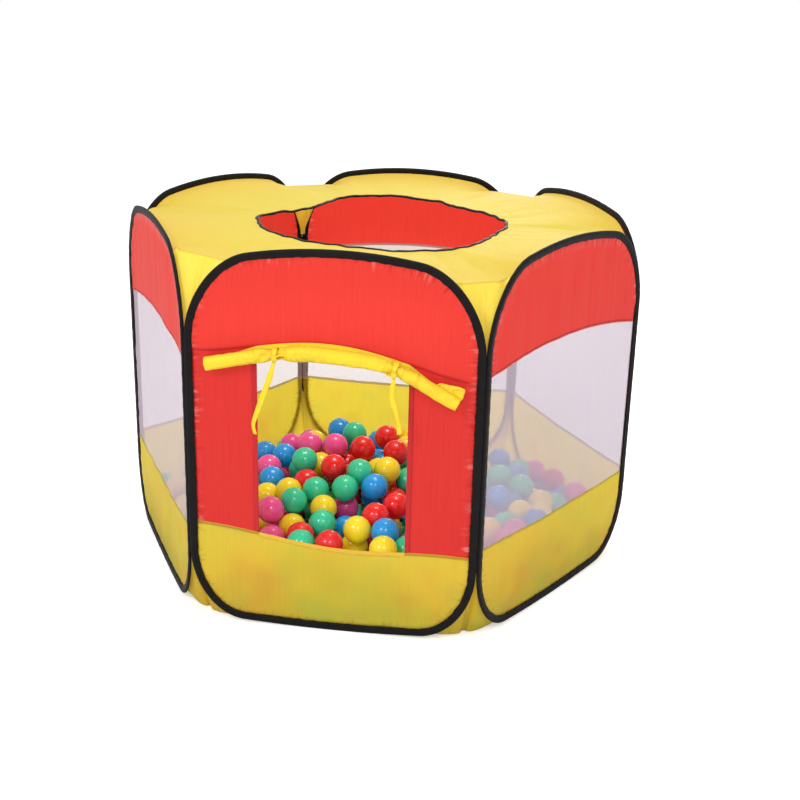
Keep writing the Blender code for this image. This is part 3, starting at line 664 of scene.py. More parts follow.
def set_normals_out(obj):
    bm = bmesh.new()
    bm.from_mesh(obj.data)
    bmesh.ops.recalc_face_normals(bm, faces=bm.faces)
    bm.to_mesh(obj.data)
    bm.free()


def in_wall(wall, along, depth, height):
    """World places of points in a wall: along it, into the tent, and up."""
    turn = math.radians(60 * WALLS.index(wall))
    y = depth - APOTHEM
    return np.stack([
        along * math.cos(turn) - y * math.sin(turn),
        along * math.sin(turn) + y * math.cos(turn),
        np.broadcast_to(height, np.shape(along)),
    ], axis=1)


def in_lip(z):
    """1 where the cloth ends between the sleeve's lips, under the roof, 0 where it laps the sleeve."""
    return smooth_step((z - LIP_START) / FADE)


def wall_seams(wall):
    return (DOOR_TOP, DOOR_SILL) if wall == "front" else (WINDOW_TOP, WINDOW_SILL)


def wall_depth(points, wall, inside, along):
    """How far into the tent the cloth lies at each point of a wall: it is drawn tight between the
    sleeves, with creases down from them, and it laps the sleeve's inner side below the roof."""
    seed = WALLS.index(wall)
    x, z = points[:, 0], points[:, 1]
    free = inside - SLEEVE_WIDTH / 2
    off = np.clip(free, 0, 1)
    to_seam = np.min([np.abs(z - seam_at(seam, x)) for seam in wall_seams(wall)], axis=0)
    lapped = (1 - np.clip((inside - 0.004) / 0.010, 0, 1)) * (1 - in_lip(z))
    depth = (LAP_DEPTH - CLOTH_DEPTH) * lapped + CLOTH_DEPTH

    # Gathers at the sleeve, puckers along the seams and longer creases in from the sleeve: each
    # with its depth, and with how far it goes before it has faded
    depth += 0.0024 * np.exp(-off / 0.016) * smooth_step(free / 0.004) * ripple(along * 60, 0.0, seed)
    depth += 0.0012 * np.exp(-to_seam / 0.010) * smooth_step(free / 0.01) * ripple(x * 70, 0.0, seed + 20)
    creased = np.exp(-off / 0.05) * smooth_step(free / 0.02)
    depth += 0.0030 * creased * ripple(along * 26, free * 5, seed + 40)
    depth += smooth_step(free / 0.05) * sum(
        deep * ripple(x * swells, z * risen, seed + more) for deep, swells, risen, more in WALL_FOLDS
    )
    # The balls push the foot of the wall out
    pushed = smooth_step((0.19 - z) / 0.08) * smooth_step(free / 0.09)
    depth -= pushed * (0.004 + 0.0045 * ripple(x * 13, z * 13, seed + 120))
    if wall == "front":
        # The flap and its roll pass in front, so the cloth bends inwards only
        soft = 0.0012
        depth = DOOR_FACE + soft * np.logaddexp(0, (depth - DOOR_FACE) / soft)
    return depth


def make_wall_cloth(name, wall, outline, made, lap, node=None, step=HEM_STEP, raw_edge=None):
    """Cloth in a wall, lap further in than the wall's own depth. raw_edge is the seam that it is
    cut along, the cut's height over that seam, and how far the pale line of the raw edge is set
    back to hide it. A piece without a node is a hem, which is folded double."""
    flat, faces = cut_cloth(outline, step)
    x, z = flat[:, 0], flat[:, 1]
    inside, along = from_hoop(flat)
    to_sleeve = np.abs(inside - SLEEVE_WIDTH / 2)
    to_edge = np.ones(len(flat))
    if raw_edge:
        seam, lift, back = raw_edge
        to_edge = np.abs(z - seam_at(seam, x, lift)) + back
    # The sleeve and seam maps place the painted shade and painted glints, and the raw edge's pale line
    piece = new_piece(
        name, in_wall(wall, x, wall_depth(flat, wall, inside, along) + lap, z), faces, made, cut=flat,
        sleeve=np.stack([along, np.clip(EDGE_VALUE - to_sleeve, 0, 1)], 1),
        seam=np.stack([x, np.clip(EDGE_VALUE - to_edge, 0, 1)], 1),
    )
    face_out(piece)
    if node:
        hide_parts(node)
    else:
        thicken(piece, HEM_THICKNESS)
    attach(piece, "tent")


def make_walls(cloths):
    """Each wall's cloth. The door wall comes last, with strips where the others have a window."""
    lips = in_lip(HOOP[:, 1])
    upright = smooth_step((HOOP[:, 1] - FLOOR_END) / FADE) * (1 - lips)
    reach = FOOT_REACH + (SIDE_REACH - FOOT_REACH) * upright + (LIP_REACH - FOOT_REACH) * lips
    edge = HOOP + outward(HOOP) * reach[:, None]
    for wall in (*WALLS[1:], "front"):
        top, sill = wall_seams(wall)
        upper = cut_by_seam(edge, top, -BAND_LAP, True)
        lower = cut_by_seam(edge, sill, BAND_LAP, False)
        between = cut_by_seam(cut_by_seam(edge, top, INNER_LAP, False), sill, -INNER_LAP, True)
        if wall == "front":
            strip = cut_by_upright(between, DOORWAY_HALF)
            other_strip = mirrored(cut_by_upright(mirrored(between), DOORWAY_HALF))
            pieces = (
                ("door_upper_band", upper, "red", (top, -BAND_LAP, 0.0028)),
                ("door_lower_band", lower, "yellow", (sill, BAND_LAP, 0.0)),
                ("door_strip_right", strip, "strip_red", None),
                ("door_strip_left", other_strip, "strip_red", None),
            )
        else:
            pieces = (
                (f"upper_band_{wall}", upper, "red", (top, -BAND_LAP, 0.0)),
                (f"mesh_window_{wall}", between, "net", None),
                (f"lower_band_{wall}", lower, "yellow", (sill, RAW_EDGE, 0.0)),
            )
        for node, outline, cloth, raw_edge in pieces:
            make_wall_cloth(
                f"{node}_cloth", wall, outline, cloths[cloth], node=node,
                lap=BAND_DEPTH if raw_edge else 0.0, step=NET_STEP if cloth == "net" else CLOTH_STEP,
                raw_edge=raw_edge,
            )


def make_hems(cloths):
    """Cloth turned over along the doorway: two uprights and the sill."""
    for side, sign in (("left", -1), ("right", 1)):
        inner, outer = sign * (DOORWAY_HALF - 0.0004), sign * (DOORWAY_HALF + HEM_WIDTH)
        foot = [(x, seam_at(DOOR_SILL, x, 0.0034)) for x in (inner, outer)]
        head = [(x, seam_at(DOOR_TOP, x, -0.0034)) for x in (outer, inner)]
        make_wall_cloth(f"doorway_hem_{side}", "front", np.array(foot + head)[::sign], cloths["hem_red"],
                        lap=-0.0009)
    xs = np.linspace(-DOORWAY_HALF, DOORWAY_HALF, 60)
    top = seam_at(DOOR_SILL, xs, 0.0036)
    outline = np.vstack([np.stack([xs, top - HEM_WIDTH], 1), np.stack([xs, top], 1)[::-1]])
    make_wall_cloth("doorway_hem_sill", "front", outline, cloths["hem_yellow"],
                    lap=-0.0016)


# Sleeves and bindings: a section swept along a line


def skin_points(path, across, depth_way, sections):
    """The points of a skin along a path. Each section is a row of points as (across, depth)."""
    points = path[:, None] + across[:, None] * sections[..., :1] + depth_way[:, None] * sections[..., 1:]
    return points.reshape(-1, 3)


def swept(name, path, across, depth_way, sections, made, width):
    """A skin swept round a closed path, of cloth that is this wide round the section."""
    count, size = sections.shape[:2]
    run = run_along(np.vstack([path, path[:1]]))
    around = np.linspace(0, 1, size + 1) * width
    faces = [tuple(v % (count * size) for v in face) for face in grid_faces(count + 1, size)]
    places = [
        (run[i + a], around[k + b])
        for i in range(count) for k in range(size) for a, b in ((0, 0), (0, 1), (1, 1), (1, 0))
    ]
    piece = new_piece(name, skin_points(path, across, depth_way, sections), faces, made, cut=places)
    set_normals_out(piece)
    return piece


def make_sleeves(tape):
    """The tape round each hoop, rucked by the wire that was pushed through it. Its inner side is
    flat where the wall's cloth laps it."""
    count = len(HOOP)
    turns = np.linspace(0, 2 * math.pi, count, endpoint=False)[:, None]
    cosine, sine = np.cos(turns), np.sin(turns)
    bare = in_lip(HOOP[:, 1:])
    upright = smooth_step((HOOP[:, 1:] - FLOOR_END + 0.015) / FADE) * (1 - bare)
    tips = HOOP + outward(HOOP)
    layer = np.arange(4)[:, None, None]
    for index, wall in enumerate(WALLS):
        path = in_wall(wall, HOOP[:, 0], 0.0, HOOP[:, 1])
        across = in_wall(wall, tips[:, 0], 0.0, tips[:, 1]) - path
        into = in_wall(wall, HOOP[:, 0], 1.0, HOOP[:, 1]) - path
        ruck = noise_at(cosine * 26 + layer * 3.1, sine * 26, index * 5.0 + layer)
        fine = noise_at(cosine * 58 + layer * 2.7, sine * 58, index * 3.0 + layer)
        u, w = (np.tile(side, (count, 1)) for side in SLEEVE_SECTION.T)
        outer = w < 0
        lip = np.clip(-u / 0.008, 0, 1)
        rim = np.clip((u - 0.0045) / 0.004, 0, 1)
        full = 0.13 * ruck[1] + 0.10 * fine[1]
        inner_swell = bare * (1 + full) + (1 - bare) * (0.78 + 0.25 * full)
        w *= np.where(outer, 1 + 0.13 * ruck[0] + 0.10 * fine[0], inner_swell)
        w += np.where(outer, lip * 0.0004 * fine[3], 0)
        u -= lip * (0.0014 * ruck[2] + 0.0007 * fine[2])
        u += rim * upright * (0.0006 + 0.0003 * ruck[3])
        piece = swept(f"sleeve_{wall}_tape", path, across, into, np.stack([u, w], 2), tape, 0.036)
        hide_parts(f"sleeve_{wall}")
        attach(piece, "tent")


# Roof and floor


def opening_point(angle, inset=0.0):
    """Points of the roof opening's wavy rim, gathered by its binding."""
    radius = OPENING_RADIUS - inset
    for count, depth, lag in OPENING_WAVES:
        radius = radius + depth * np.cos(count * angle - math.radians(lag))
    for place, width, depth in OPENING_DENTS:
        off = (np.degrees(angle) - place + 180) % 360 - 180
        radius = radius + depth * np.exp(-((off / width) ** 2))
    radius = radius + 0.0045 * ring_ripple(angle, 8.5, 71)
    rise = 0.0035 * ring_ripple(angle, 8.5, 73)
    x, y = OPENING_MIDDLE
    return np.stack([x + radius * np.cos(angle), y + radius * np.sin(angle), ROOF_LEVEL + rise], axis=1)


def rounded_profile(rings, times):
    """Rings of points whose corners are cut off again and again, so that the cloth turns softly."""
    for _ in range(times):
        cut = [end for a, b in zip(rings, rings[1:]) for end in (a * 0.75 + b * 0.25, a * 0.25 + b * 0.75)]
        rings = [rings[0], *cut, rings[-1]]
    return rings


def even_rings(rings, count):
    """The same profile read again at even steps at every point of the ring."""
    profiles = np.moveaxis(np.array(rings), 1, 0)
    even = []
    for profile in profiles:
        run = run_along(profile)
        places = np.linspace(0, run[-1], count)
        even.append(np.stack([np.interp(places, run, column) for column in profile.T], axis=1))
    return np.stack(even, axis=1)


def make_roof(cloth, gore_cloth_painted_light):
    """The roof as rings of points, from the hoops in to the opening. In each corner a gore hangs
    between two walls, from a seam that runs straight across."""
    inset = 0.0060 * smooth_step((HOOP[:, 1] - 0.625) / 0.05)
    rim = HOOP - outward(HOOP) * inset[:, None]
    run = even_line(first_run(np.column_stack([rim, inset]), HOOP[:, 1] > ROOF_START), 0.0075)[::-1]
    depth = LAP_DEPTH - 0.17 * run[:, 2]
    edge = np.vstack([in_wall(wall, run[:, 0], depth, run[:, 1]) for wall in WALLS])
    bearing = np.arctan2(edge[:, 1], edge[:, 0])
    far = np.hypot(edge[:, 0], edge[:, 1])
    ahead = edge[:, :2] / far[:, None]
    to_opening = edge[:, :2] - OPENING_MIDDLE
    opening = opening_point(np.arctan2(to_opening[:, 1], to_opening[:, 0]), inset=0.001)

    # The seam over each gore, and the roof's shoulder
    number = np.round(np.degrees(bearing) / 60).astype(int) % 6
    corner = (np.degrees(bearing) + 30) % 60 - 30
    gore_top = np.array(GORE_TOPS)[number]
    tip = np.clip(gore_top - edge[:, 2], 0, 1)
    is_gore = tip > 0.006
    in_gore = smooth_step(tip / 0.05)
    half = run[: len(run) // 2]
    along = np.interp(gore_top, half[:, 1], -half[:, 0])
    chord = (APOTHEM * math.cos(math.pi / 6) + along * 0.5) / np.cos(np.radians(corner))
    fall = np.where(tip > 0, far - chord, 0)
    reach = np.maximum(fall, 0.014)
    height = np.where(tip > 0, gore_top + (reach - np.maximum(fall, 0)) * 0.1, edge[:, 2] - 0.0035)
    crease = np.column_stack([ahead * (far - reach)[:, None], height])
    shrink = 1 - (ROOF_SHOULDER + 0.02 * in_gore) / far
    lift = np.maximum((edge[:, 2] - ROOF_LEVEL) * 0.18, -0.012)
    shoulder = np.column_stack([edge[:, :2] * shrink[:, None], ROOF_LEVEL + lift])
    top = even_rings(rounded_profile([crease, shoulder, (shoulder + opening) / 2, opening], 3), 30)
    panel = [edge * (1 - t) + crease * t for t in GORE_RINGS]
    rings = np.array([*panel, top[0], top[0] * 0.8 + top[1] * 0.2, *top[1:]])

    # Tension lines that run in from the hoops, and folds in the gores
    row = np.arange(len(rings))[:, None]
    share = np.clip((row - len(panel)) / (len(rings) - 1 - len(panel)), 0, 1)
    wave = sum(deep * ring_ripple(bearing, lobes, seed, share * shift)
               for deep, lobes, shift, seed in ROOF_FOLDS)
    wave += 0.0006 * ripple(rings[..., 0] * 42, rings[..., 1] * 42, 41)
    rings[..., 2] += wave * np.sin(np.pi * share) ** 0.7
    slack = np.sin(np.pi * np.clip(row / len(panel), 0, 1)) * (row < len(panel))
    pleats = 0.0042 * ripple(corner * 0.55, number * 5.0, 43)
    pleats += 0.0028 * ripple(corner * 1.3, number * 5.0, 47) - 0.004
    push = slack * (pleats * in_gore * np.clip(1 - np.abs(corner) / 7.0, 0, 1))
    rings[..., :2] += ahead * push[..., None]

    flat = rings[..., :2] + ahead * np.clip(ROOF_LEVEL - rings[..., 2], 0, 1)[..., None]
    # The seam map darkens the cloth along each gore's seam with painted shade
    to_seam = np.linalg.norm(rings - rings[len(panel)], axis=2) + 0.0048
    seam = np.stack([np.zeros_like(to_seam), np.clip(EDGE_VALUE - to_seam, 0, 1) * is_gore], axis=2)
    roof = new_piece("roof_cloth", rings.reshape(-1, 3), grid_faces(*rings.shape[:2]), cloth,
                     cut=flat.reshape(-1, 2), seam=seam.reshape(-1, 2))
    face_out(roof)
    # The gores take a brighter copy of the roof's cloth: painted light on the steep panels
    slots = np.zeros((len(rings) - 1, len(edge)), np.int32)
    slots[: len(panel), is_gore] = 1
    roof.data.materials.append(gore_cloth_painted_light)
    roof.data.polygons.foreach_set("material_index", slots.ravel())
    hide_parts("roof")
    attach(roof, "tent")


def make_opening_binding(tape):
    """The tape round the opening's rim, as an uneven oval."""
    turns = np.linspace(-math.pi, math.pi, 401)[:-1]
    path = even_line(opening_point(turns, inset=0.0035), 0.004, closed=True)
    up = np.tile((0, 0, 1.0), (len(path), 1))
    layer = np.arange(3)
    ruck = noise_at(path[:, :1] * 75 + layer, path[:, 1:2] * 75, layer * 2.0)
    around = np.linspace(0, 2 * math.pi, 11)[:-1]
    u = np.cos(around) * 0.0040 * (1 + 0.16 * ruck[:, :1])
    w = np.sin(around) * 0.0030 * (1 + 0.22 * ruck[:, 1:2]) + 0.0005 * ruck[:, 2:]
    out = np.cross(unit_steps(path, closed=True), up)
    piece = swept("roof_opening_tape", path, out, up, np.stack([u, w], 2), tape, 0.018)
    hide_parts("roof_opening_binding")
    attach(piece, "tent")


def make_floor(cloth):
    """The floor cloth, with its edge turned up to the hoops and small creases where it lies."""
    run = even_line(first_run(HOOP, HOOP[:, 1] < FLOOR_END), 0.0085)
    edge = np.vstack([in_wall(wall, run[:, 0], LAP_DEPTH, run[:, 1]) for wall in WALLS])
    far = np.hypot(edge[:, 0], edge[:, 1])
    lowest, highest = edge[:, 2].min(), edge[:, 2].max()
    reach = 0.012 + 0.033 * (edge[:, 2] - lowest) / (highest - lowest)
    ground = np.column_stack([edge[:, :2] * (1 - reach / far)[:, None], np.full(len(edge), 0.0006)])
    rings = rounded_profile([edge, edge * (0.55, 0.55, 0.5) + ground * (0.45, 0.45, 0.5), ground], 2)
    rings = np.array(rings + [ground * (share, share, 1) for share in np.linspace(0.93, 0.02, 22)])
    x, y, z = np.moveaxis(rings, 2, 0)
    lift = (ripple(x * 9, y * 9, 51) + 1) * 0.0009 + np.clip(ripple(x * 30, y * 30, 53), 0, 1) * 0.0008
    rings[..., 2] += lift * (z < 0.01)
    faces = grid_faces(*rings.shape[:2])
    faces.append(tuple(range(len(faces), len(faces) + len(edge))))
    flat = rings[..., :2] * (1 + np.clip(rings[..., 2], 0, 1)[..., None])
    floor = new_piece("floor_cloth", rings.reshape(-1, 3), faces, cloth, cut=flat.reshape(-1, 2))
    face_out(floor)
    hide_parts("floor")
    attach(floor, "tent")


# Door flap


def smooth_route(points, samples):
    """A smooth curve through the points, read at an even share of each stretch."""
    points = [Vector(p) for p in points]
    padded = [points[0] * 2 - points[1]] + points + [points[-1] * 2 - points[-2]]
    route = []
    for a, b, c, d in zip(padded, padded[1:], padded[2:], padded[3:]):
        bend_in = 2 * a - 5 * b + 4 * c - d
        bend_out = 3 * b - a - 3 * c + d
        for i in range(samples):
            t = i / samples
            route.append(b + ((c - a) * t + bend_in * t**2 + bend_out * t**3) / 2)
    return np.array([tuple(p) for p in (*route, points[-1])])


ROLL_LINE = smooth_route(ROLL_ROUTE, 40)


def roll_height(x):
    return np.interp(x, ROLL_LINE[:, 0], ROLL_LINE[:, 1])


def pinch_at(x):
    """Share of the roll's radius left at each place: drawn in under each tie."""
    share = np.ones_like(x)
    for side, place in TIE_PLACES.items():
        near = np.clip(1 - (np.abs(x - place) - 0.006) / 0.024, 0, 1)
        share *= 1 - (1 - TIE_PINCH[side]) * near**1.5
    return share


def make_flap_sheet(cloth):
    """The flap from the doorway's upper seam down into the roll. It lies further out the lower it
    is, and the blend goes by that depth, so each point follows the roll by its share of the way."""
    columns, rows = 61, 25
    across = np.linspace(-1, 1, columns)
    share = np.linspace(0, 1, rows)
    top = np.stack([across * DOORWAY_HALF, seam_at(DOOR_TOP, across * DOORWAY_HALF, -0.001)], 1)
    foot = np.stack([across * FLAP_HALF, roll_height(across * FLAP_HALF)], 1)
    flat = (top + (foot - top) * share[:, None, None]).reshape(-1, 2)
    # The blend starts and ends slowly, so the depth does the opposite and the stretch is even
    bent = 0.5 - np.sin(np.arcsin(1 - 2 * share) / 3)
    depth = np.repeat(FLAP_DEPTHS[0] + (FLAP_DEPTHS[1] - FLAP_DEPTHS[0]) * bent, columns)
    sheet = new_piece("door_flap_cloth", in_wall("front", flat[:, 0], depth, flat[:, 1]),
                      grid_faces(rows, columns, closed=False), cloth, cut=flat)
    face_out(sheet)
    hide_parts("door_flap_sheet")
    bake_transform(sheet)


def make_flap_roll(cloth):
    """The wound part of the flap, drawn in under its ties: one band of cloth with its turns, closed
    at both ends by the strip between its two faces."""
    line = even_line(ROLL_LINE, 0.003)
    ahead = unit_steps(line)
    path = in_wall("front", line[:, 0], -ROLL_DEPTH, line[:, 1])
    up = np.stack([-ahead[:, 1], np.zeros(len(line)), ahead[:, 0]], axis=1)
    into = np.tile((0, 1.0, 0), (len(line), 1))
    wrap = np.linspace(0, 1, round(26 * ROLL_TURNS) + 1)
    turn = -2 * math.pi * ROLL_TURNS * wrap
    cosine, sine = np.cos(turn), np.sin(turn)

    x = line[:, :1]
    share = pinch_at(x)
    fullness = np.interp(x, *np.array(ROLL_FULLNESS).T)
    radius = (ROLL_RADIUS + (ROLL_CORE - ROLL_RADIUS) * wrap) * share * fullness
    soft = sum(deep * noise_at(x * swells, cosine * lobes, sine * lobes + shift)
               for deep, swells, lobes, shift in ROLL_FOLDS)
    pleat = (1 - share) * 0.0075 * np.abs(np.sin(turn * 3.5 + 0.6 + x * 30))
    tuck = np.exp(-(((x + 0.132 - 0.012 * sine) / 0.008) ** 2))  # the fold beside the left knot
    tuck *= 0.0080 * np.exp(-(((cosine + 1) / 0.35) ** 2))
    edge = 0.0012 * np.exp(-(((sine + 0.55) / 0.05) ** 2)) * (cosine < 0)
    radius = radius + soft * (1 - 0.6 * wrap) - (pleat + tuck + edge) * (1 - wrap)
    outer, inner = (np.stack([cosine * r, sine * r], 2) for r in (radius, radius - ROLL_WALL * share))
    sections = np.concatenate([outer, inner[:, ::-1]], axis=1)
    sections[..., 0] -= 0.7 * np.clip(sections[..., 0] - ROLL_BACK, 0, 1)

    rows, size = sections.shape[:2]
    faces = grid_faces(rows, size)
    for first in (0, (rows - 1) * size):
        for i in range(size // 2 - 1):
            j = size - 1 - i
            faces.append((first + i, first + i + 1, first + j - 1, first + j))
    flat = [(wound, run) for run, part in zip(run_along(path), sections) for wound in run_along(part)]
    roll = new_piece("door_flap_roll_cloth", skin_points(path, into, up, sections), faces, cloth, cut=flat)
    set_normals_out(roll)
    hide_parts("door_flap_roll")
    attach(roll, "door_flap")


def make_flap_corner(cloth):
    """The flap's corner, which came loose behind the roll's right end."""
    corner = np.array(FLAP_CORNER)
    flat, faces = cut_cloth(corner, 0.004)
    x, z = flat[:, 0], flat[:, 1]
    depth = -0.012 - 0.005 * np.sin((x - FLAP_CORNER[0][0]) * 38) + 0.0012 * ripple(x * 60, z * 60, 67)
    piece = new_piece("door_flap_corner_cloth", in_wall("front", x, depth, z), faces, cloth, cut=flat)
    face_out(piece)
    thicken(piece, 0.0005)
    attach(piece, "door_flap")


# Ties


def make_ribbon(name, route, widths, facing, cloth, thickness=0.0008):
    """A flat ribbon along a route, its flat side turned by facing, in degrees, at each point."""
    ahead = unit_steps(route)
    across = np.cross(ahead, (0, -1.0, 0))
    across /= np.linalg.norm(across, axis=1)[:, None]
    turn = np.radians(facing)[:, None]
    side = across * np.cos(turn) + np.cross(across, ahead) * np.sin(turn)
    columns = np.linspace(-0.5, 0.5, 5)
    u = columns * widths[:, None]
    cup = np.broadcast_to(0.0006 * (1 - (2 * columns) ** 2), u.shape)
    points = skin_points(route, side, np.cross(side, ahead), np.stack([u, cup], 2))
    run = np.broadcast_to(run_along(route)[:, None], u.shape)
    faces = grid_faces(len(route), len(columns), closed=False)
    ribbon = new_piece(name, points, faces, cloth, cut=np.stack([u, run], 2).reshape(-1, 2))
    thicken(ribbon, thickness)
    set_normals_out(ribbon)
    return ribbon


def make_ties(cloth):
    """Each tie: a band round the roll, narrowest under its knot, with a knot, a tail and a bow."""
    count = 48
    turns = np.linspace(0, 2 * math.pi, count, endpoint=False)
    out = np.stack([np.zeros(count), -np.cos(turns), np.sin(turns)], 1)
    along = np.tile((1.0, 0, 0), (count, 1))
    from_knot = np.minimum(np.arange(count), count - np.arange(count))[:, None]
    drop = math.radians(20)  # the knot sits this far below the roll's outermost line
    for side, x in TIE_PLACES.items():
        height = float(roll_height(x))
        slope = math.atan2(roll_height(x + 0.002) - roll_height(x - 0.002), 0.004)
        radius = ROLL_RADIUS * TIE_PINCH[side] + 0.0013
        u = TIE_SECTION[:, 0] * (1 - 0.28 * np.exp(-((from_knot / 5) ** 2)))
        w = TIE_SECTION[:, 1] + 0.0004 * noise_at(np.cos(turns) * 3, np.sin(turns) * 3, x * 9)[:, None]
        sections = np.stack([u, w], 2)
        band = swept(f"tie_{side}_band", out * radius, along, out, sections, cloth, 0.024)
        place = Vector((x, -APOTHEM - ROLL_DEPTH, height))
        band.data.transform(Matrix.Translation(place) @ Matrix.Rotation(-slope, 4, "Y"))
        reach = radius + KNOT_RADIUS - 0.0015
        knot_at = place - Vector((0, reach * math.cos(drop), reach * math.sin(drop)))
        knot = make_knot(f"tie_{side}_knot", knot_at, cloth)
        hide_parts(f"tie_{side}")
        for piece in (band, knot):
            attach(piece, "door_flap")
        make_tail(side, knot_at, cloth)
        make_bow(side, knot_at, cloth)


def make_knot(name, place, cloth):
    """An overhand knot in the ribbon: a lump with one wrap that crosses it aslant."""
    bpy.ops.object.select_all(action="DESELECT")
    bpy.ops.mesh.primitive_uv_sphere_add(segments=28, ring_count=20, radius=KNOT_RADIUS)
    knot = bpy.context.object
    knot.name = name
    for vert in knot.data.vertices:
        p = vert.co / KNOT_RADIUS
        aslant = 0.85 * p.x + 0.5 * p.z
        wrap = math.exp(-((aslant / 0.42) ** 2))
        groove = math.exp(-(((abs(aslant) - 0.55) / 0.12) ** 2))
        swell = 1 + 0.16 * wrap - 0.22 * groove + 0.10 * noise.noise(p * 2.3)
        vert.co = Vector((p.x * 1.05, p.y * 0.85, p.z)) * KNOT_RADIUS * swell
    knot.data.transform(Matrix.Translation(place))
    layer = knot.data.uv_layers[0]
    layer.name = "cut"
    for loop in knot.data.loops:
        layer.data[loop.index].uv = knot.data.vertices[loop.vertex_index].co.xz
    knot.data.shade_smooth()
    knot.data.materials.append(cloth)
    return knot


def make_tail(side, knot_at, cloth):
    """The tie's long free end, which hangs from its knot and twists a little."""
    start = Vector((knot_at.x, knot_at.y, knot_at.z - KNOT_RADIUS - 0.0003))
    places = [(start.x + a / 1000, start.z + b / 1000) for a, b in TAIL_ROUTES[side]]
    line = even_line(smooth_route(places, 12), 0.004)
    share = np.linspace(0, 1, len(line))
    sway = 0.0012 * np.sin(share * 7) * smooth_step(share * 4)
    route = np.stack([line[:, 0], start.y + sway, line[:, 1]], 1)
    swing, pace, first, lean = TAIL_TWISTS[side]
    facing = swing * np.sin(share * pace + first) * smooth_step(share * 3) + lean
    widths = TAIL_WIDTHS[side] * (0.62 + 0.38 * smooth_step(share * 5))
    tail = make_ribbon(f"tie_{side}_ribbon", route, widths, facing, cloth)
    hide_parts(f"tie_{side}_tail")
    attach(tail, "door_flap")


def make_bow(side, knot_at, cloth):
    """The tie's short loop beside its knot, lying on the roll."""
    reach = BOW_REACHES[side]
    turns = np.linspace(0, 2 * math.pi, 33)
    out = (1 - np.cos(turns)) / 2
    route = np.stack([
        knot_at.x + math.copysign(0.003, reach) + reach * out,
        knot_at.y + 0.001 - 0.002 * np.sin(turns / 2),
        knot_at.z + 0.002 + 0.0045 * np.sin(turns) + 0.004 * out,
    ], 1)
    widths, facing = np.full(len(turns), 0.0085), np.full(len(turns), 78.0)
    bow = make_ribbon(f"tie_{side}_bow", route, widths, facing, cloth, thickness=0.0007)
    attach(bow, "door_flap")


# Balls


def heap_height(x, y):
    fall = np.where(y > HEAP_MIDDLE, HEAP_FALLS["back"], HEAP_FALLS["front"])
    return HEAP_TOP - (HEAP_FALLS["side"] * x**2 + fall * (y - HEAP_MIDDLE) ** 2) / HEAP_REACH**2


def place_seen_balls(fixed):
    """Balls where the photograph shows them, moved apart so that none cut into another."""
    place, right, up, ahead = camera_axes()
    middle = PHOTO_SIZE / 2
    rounds, straight_rounds = 600, 60
    sunk, raised = 0.050, 0.020  # a ball's middle stays between these, under and over the heap's level
    limit = APOTHEM - BALL_RADIUS - 0.012
    found = []
    for _, px, py in SEEN_BALLS:
        way = ahead + right * ((px - middle) / FOCAL_PIXELS) + up * ((middle - py) / FOCAL_PIXELS)
        level = HEAP_TOP
        for _ in range(10):
            p = place + way * ((place.z - level) / -way.z)
            level = float(heap_height(min(max(p.x, -0.45), 0.45), min(max(p.y, -0.45), 0.45))) + 0.006
        found.append(tuple(p))
    balls = np.array(found)
    rays = balls - np.array(place)
    rays /= np.linalg.norm(rays, axis=1)[:, None]
    reach = 2 * BALL_RADIUS + 0.0004
    own = np.arange(len(balls))
    for number in range(rounds):
        # Balls that touch move along their own lines of sight, and later a little aside as well
        off = balls[:, None] - np.vstack([balls, fixed])[None]
        gap = np.linalg.norm(off, axis=2)
        gap[own, own] = 1
        push = np.clip(reach - gap, 0, 1)
        if push.max() < 0.0005:
            break
        depth = (off * rays[:, None]).sum(2)
        aside = np.sqrt(np.clip(gap**2 - depth**2, 0, 1))
        wanted = np.sqrt(np.clip(reach**2 - aside**2, 0, 1))
        behind = np.where(np.abs(depth) < 1e-6, 1, np.sign(depth))
        share = np.where(push > 0, behind * (wanted - np.abs(depth)) * 0.15, 0)
        balls += rays * np.clip(share.sum(1), -0.006, 0.006)[:, None]
        if number > straight_rounds:
            balls += np.clip((off / gap[..., None] * push[..., None] * 0.3).sum(1), -0.002, 0.002)
        level = heap_height(balls[:, 0], balls[:, 1])
        over = np.clip(balls[:, 2] - level - raised, 0, 1) - np.clip(level - sunk - balls[:, 2], 0, 1)
        balls += rays * (over / -rays[:, 2] * 0.5)[:, None]
        for way in WALL_WAYS:
            past = np.clip(balls[:, :2] @ way - limit, 0, 1)
            balls[:, :2] -= past[:, None] * way
    return balls


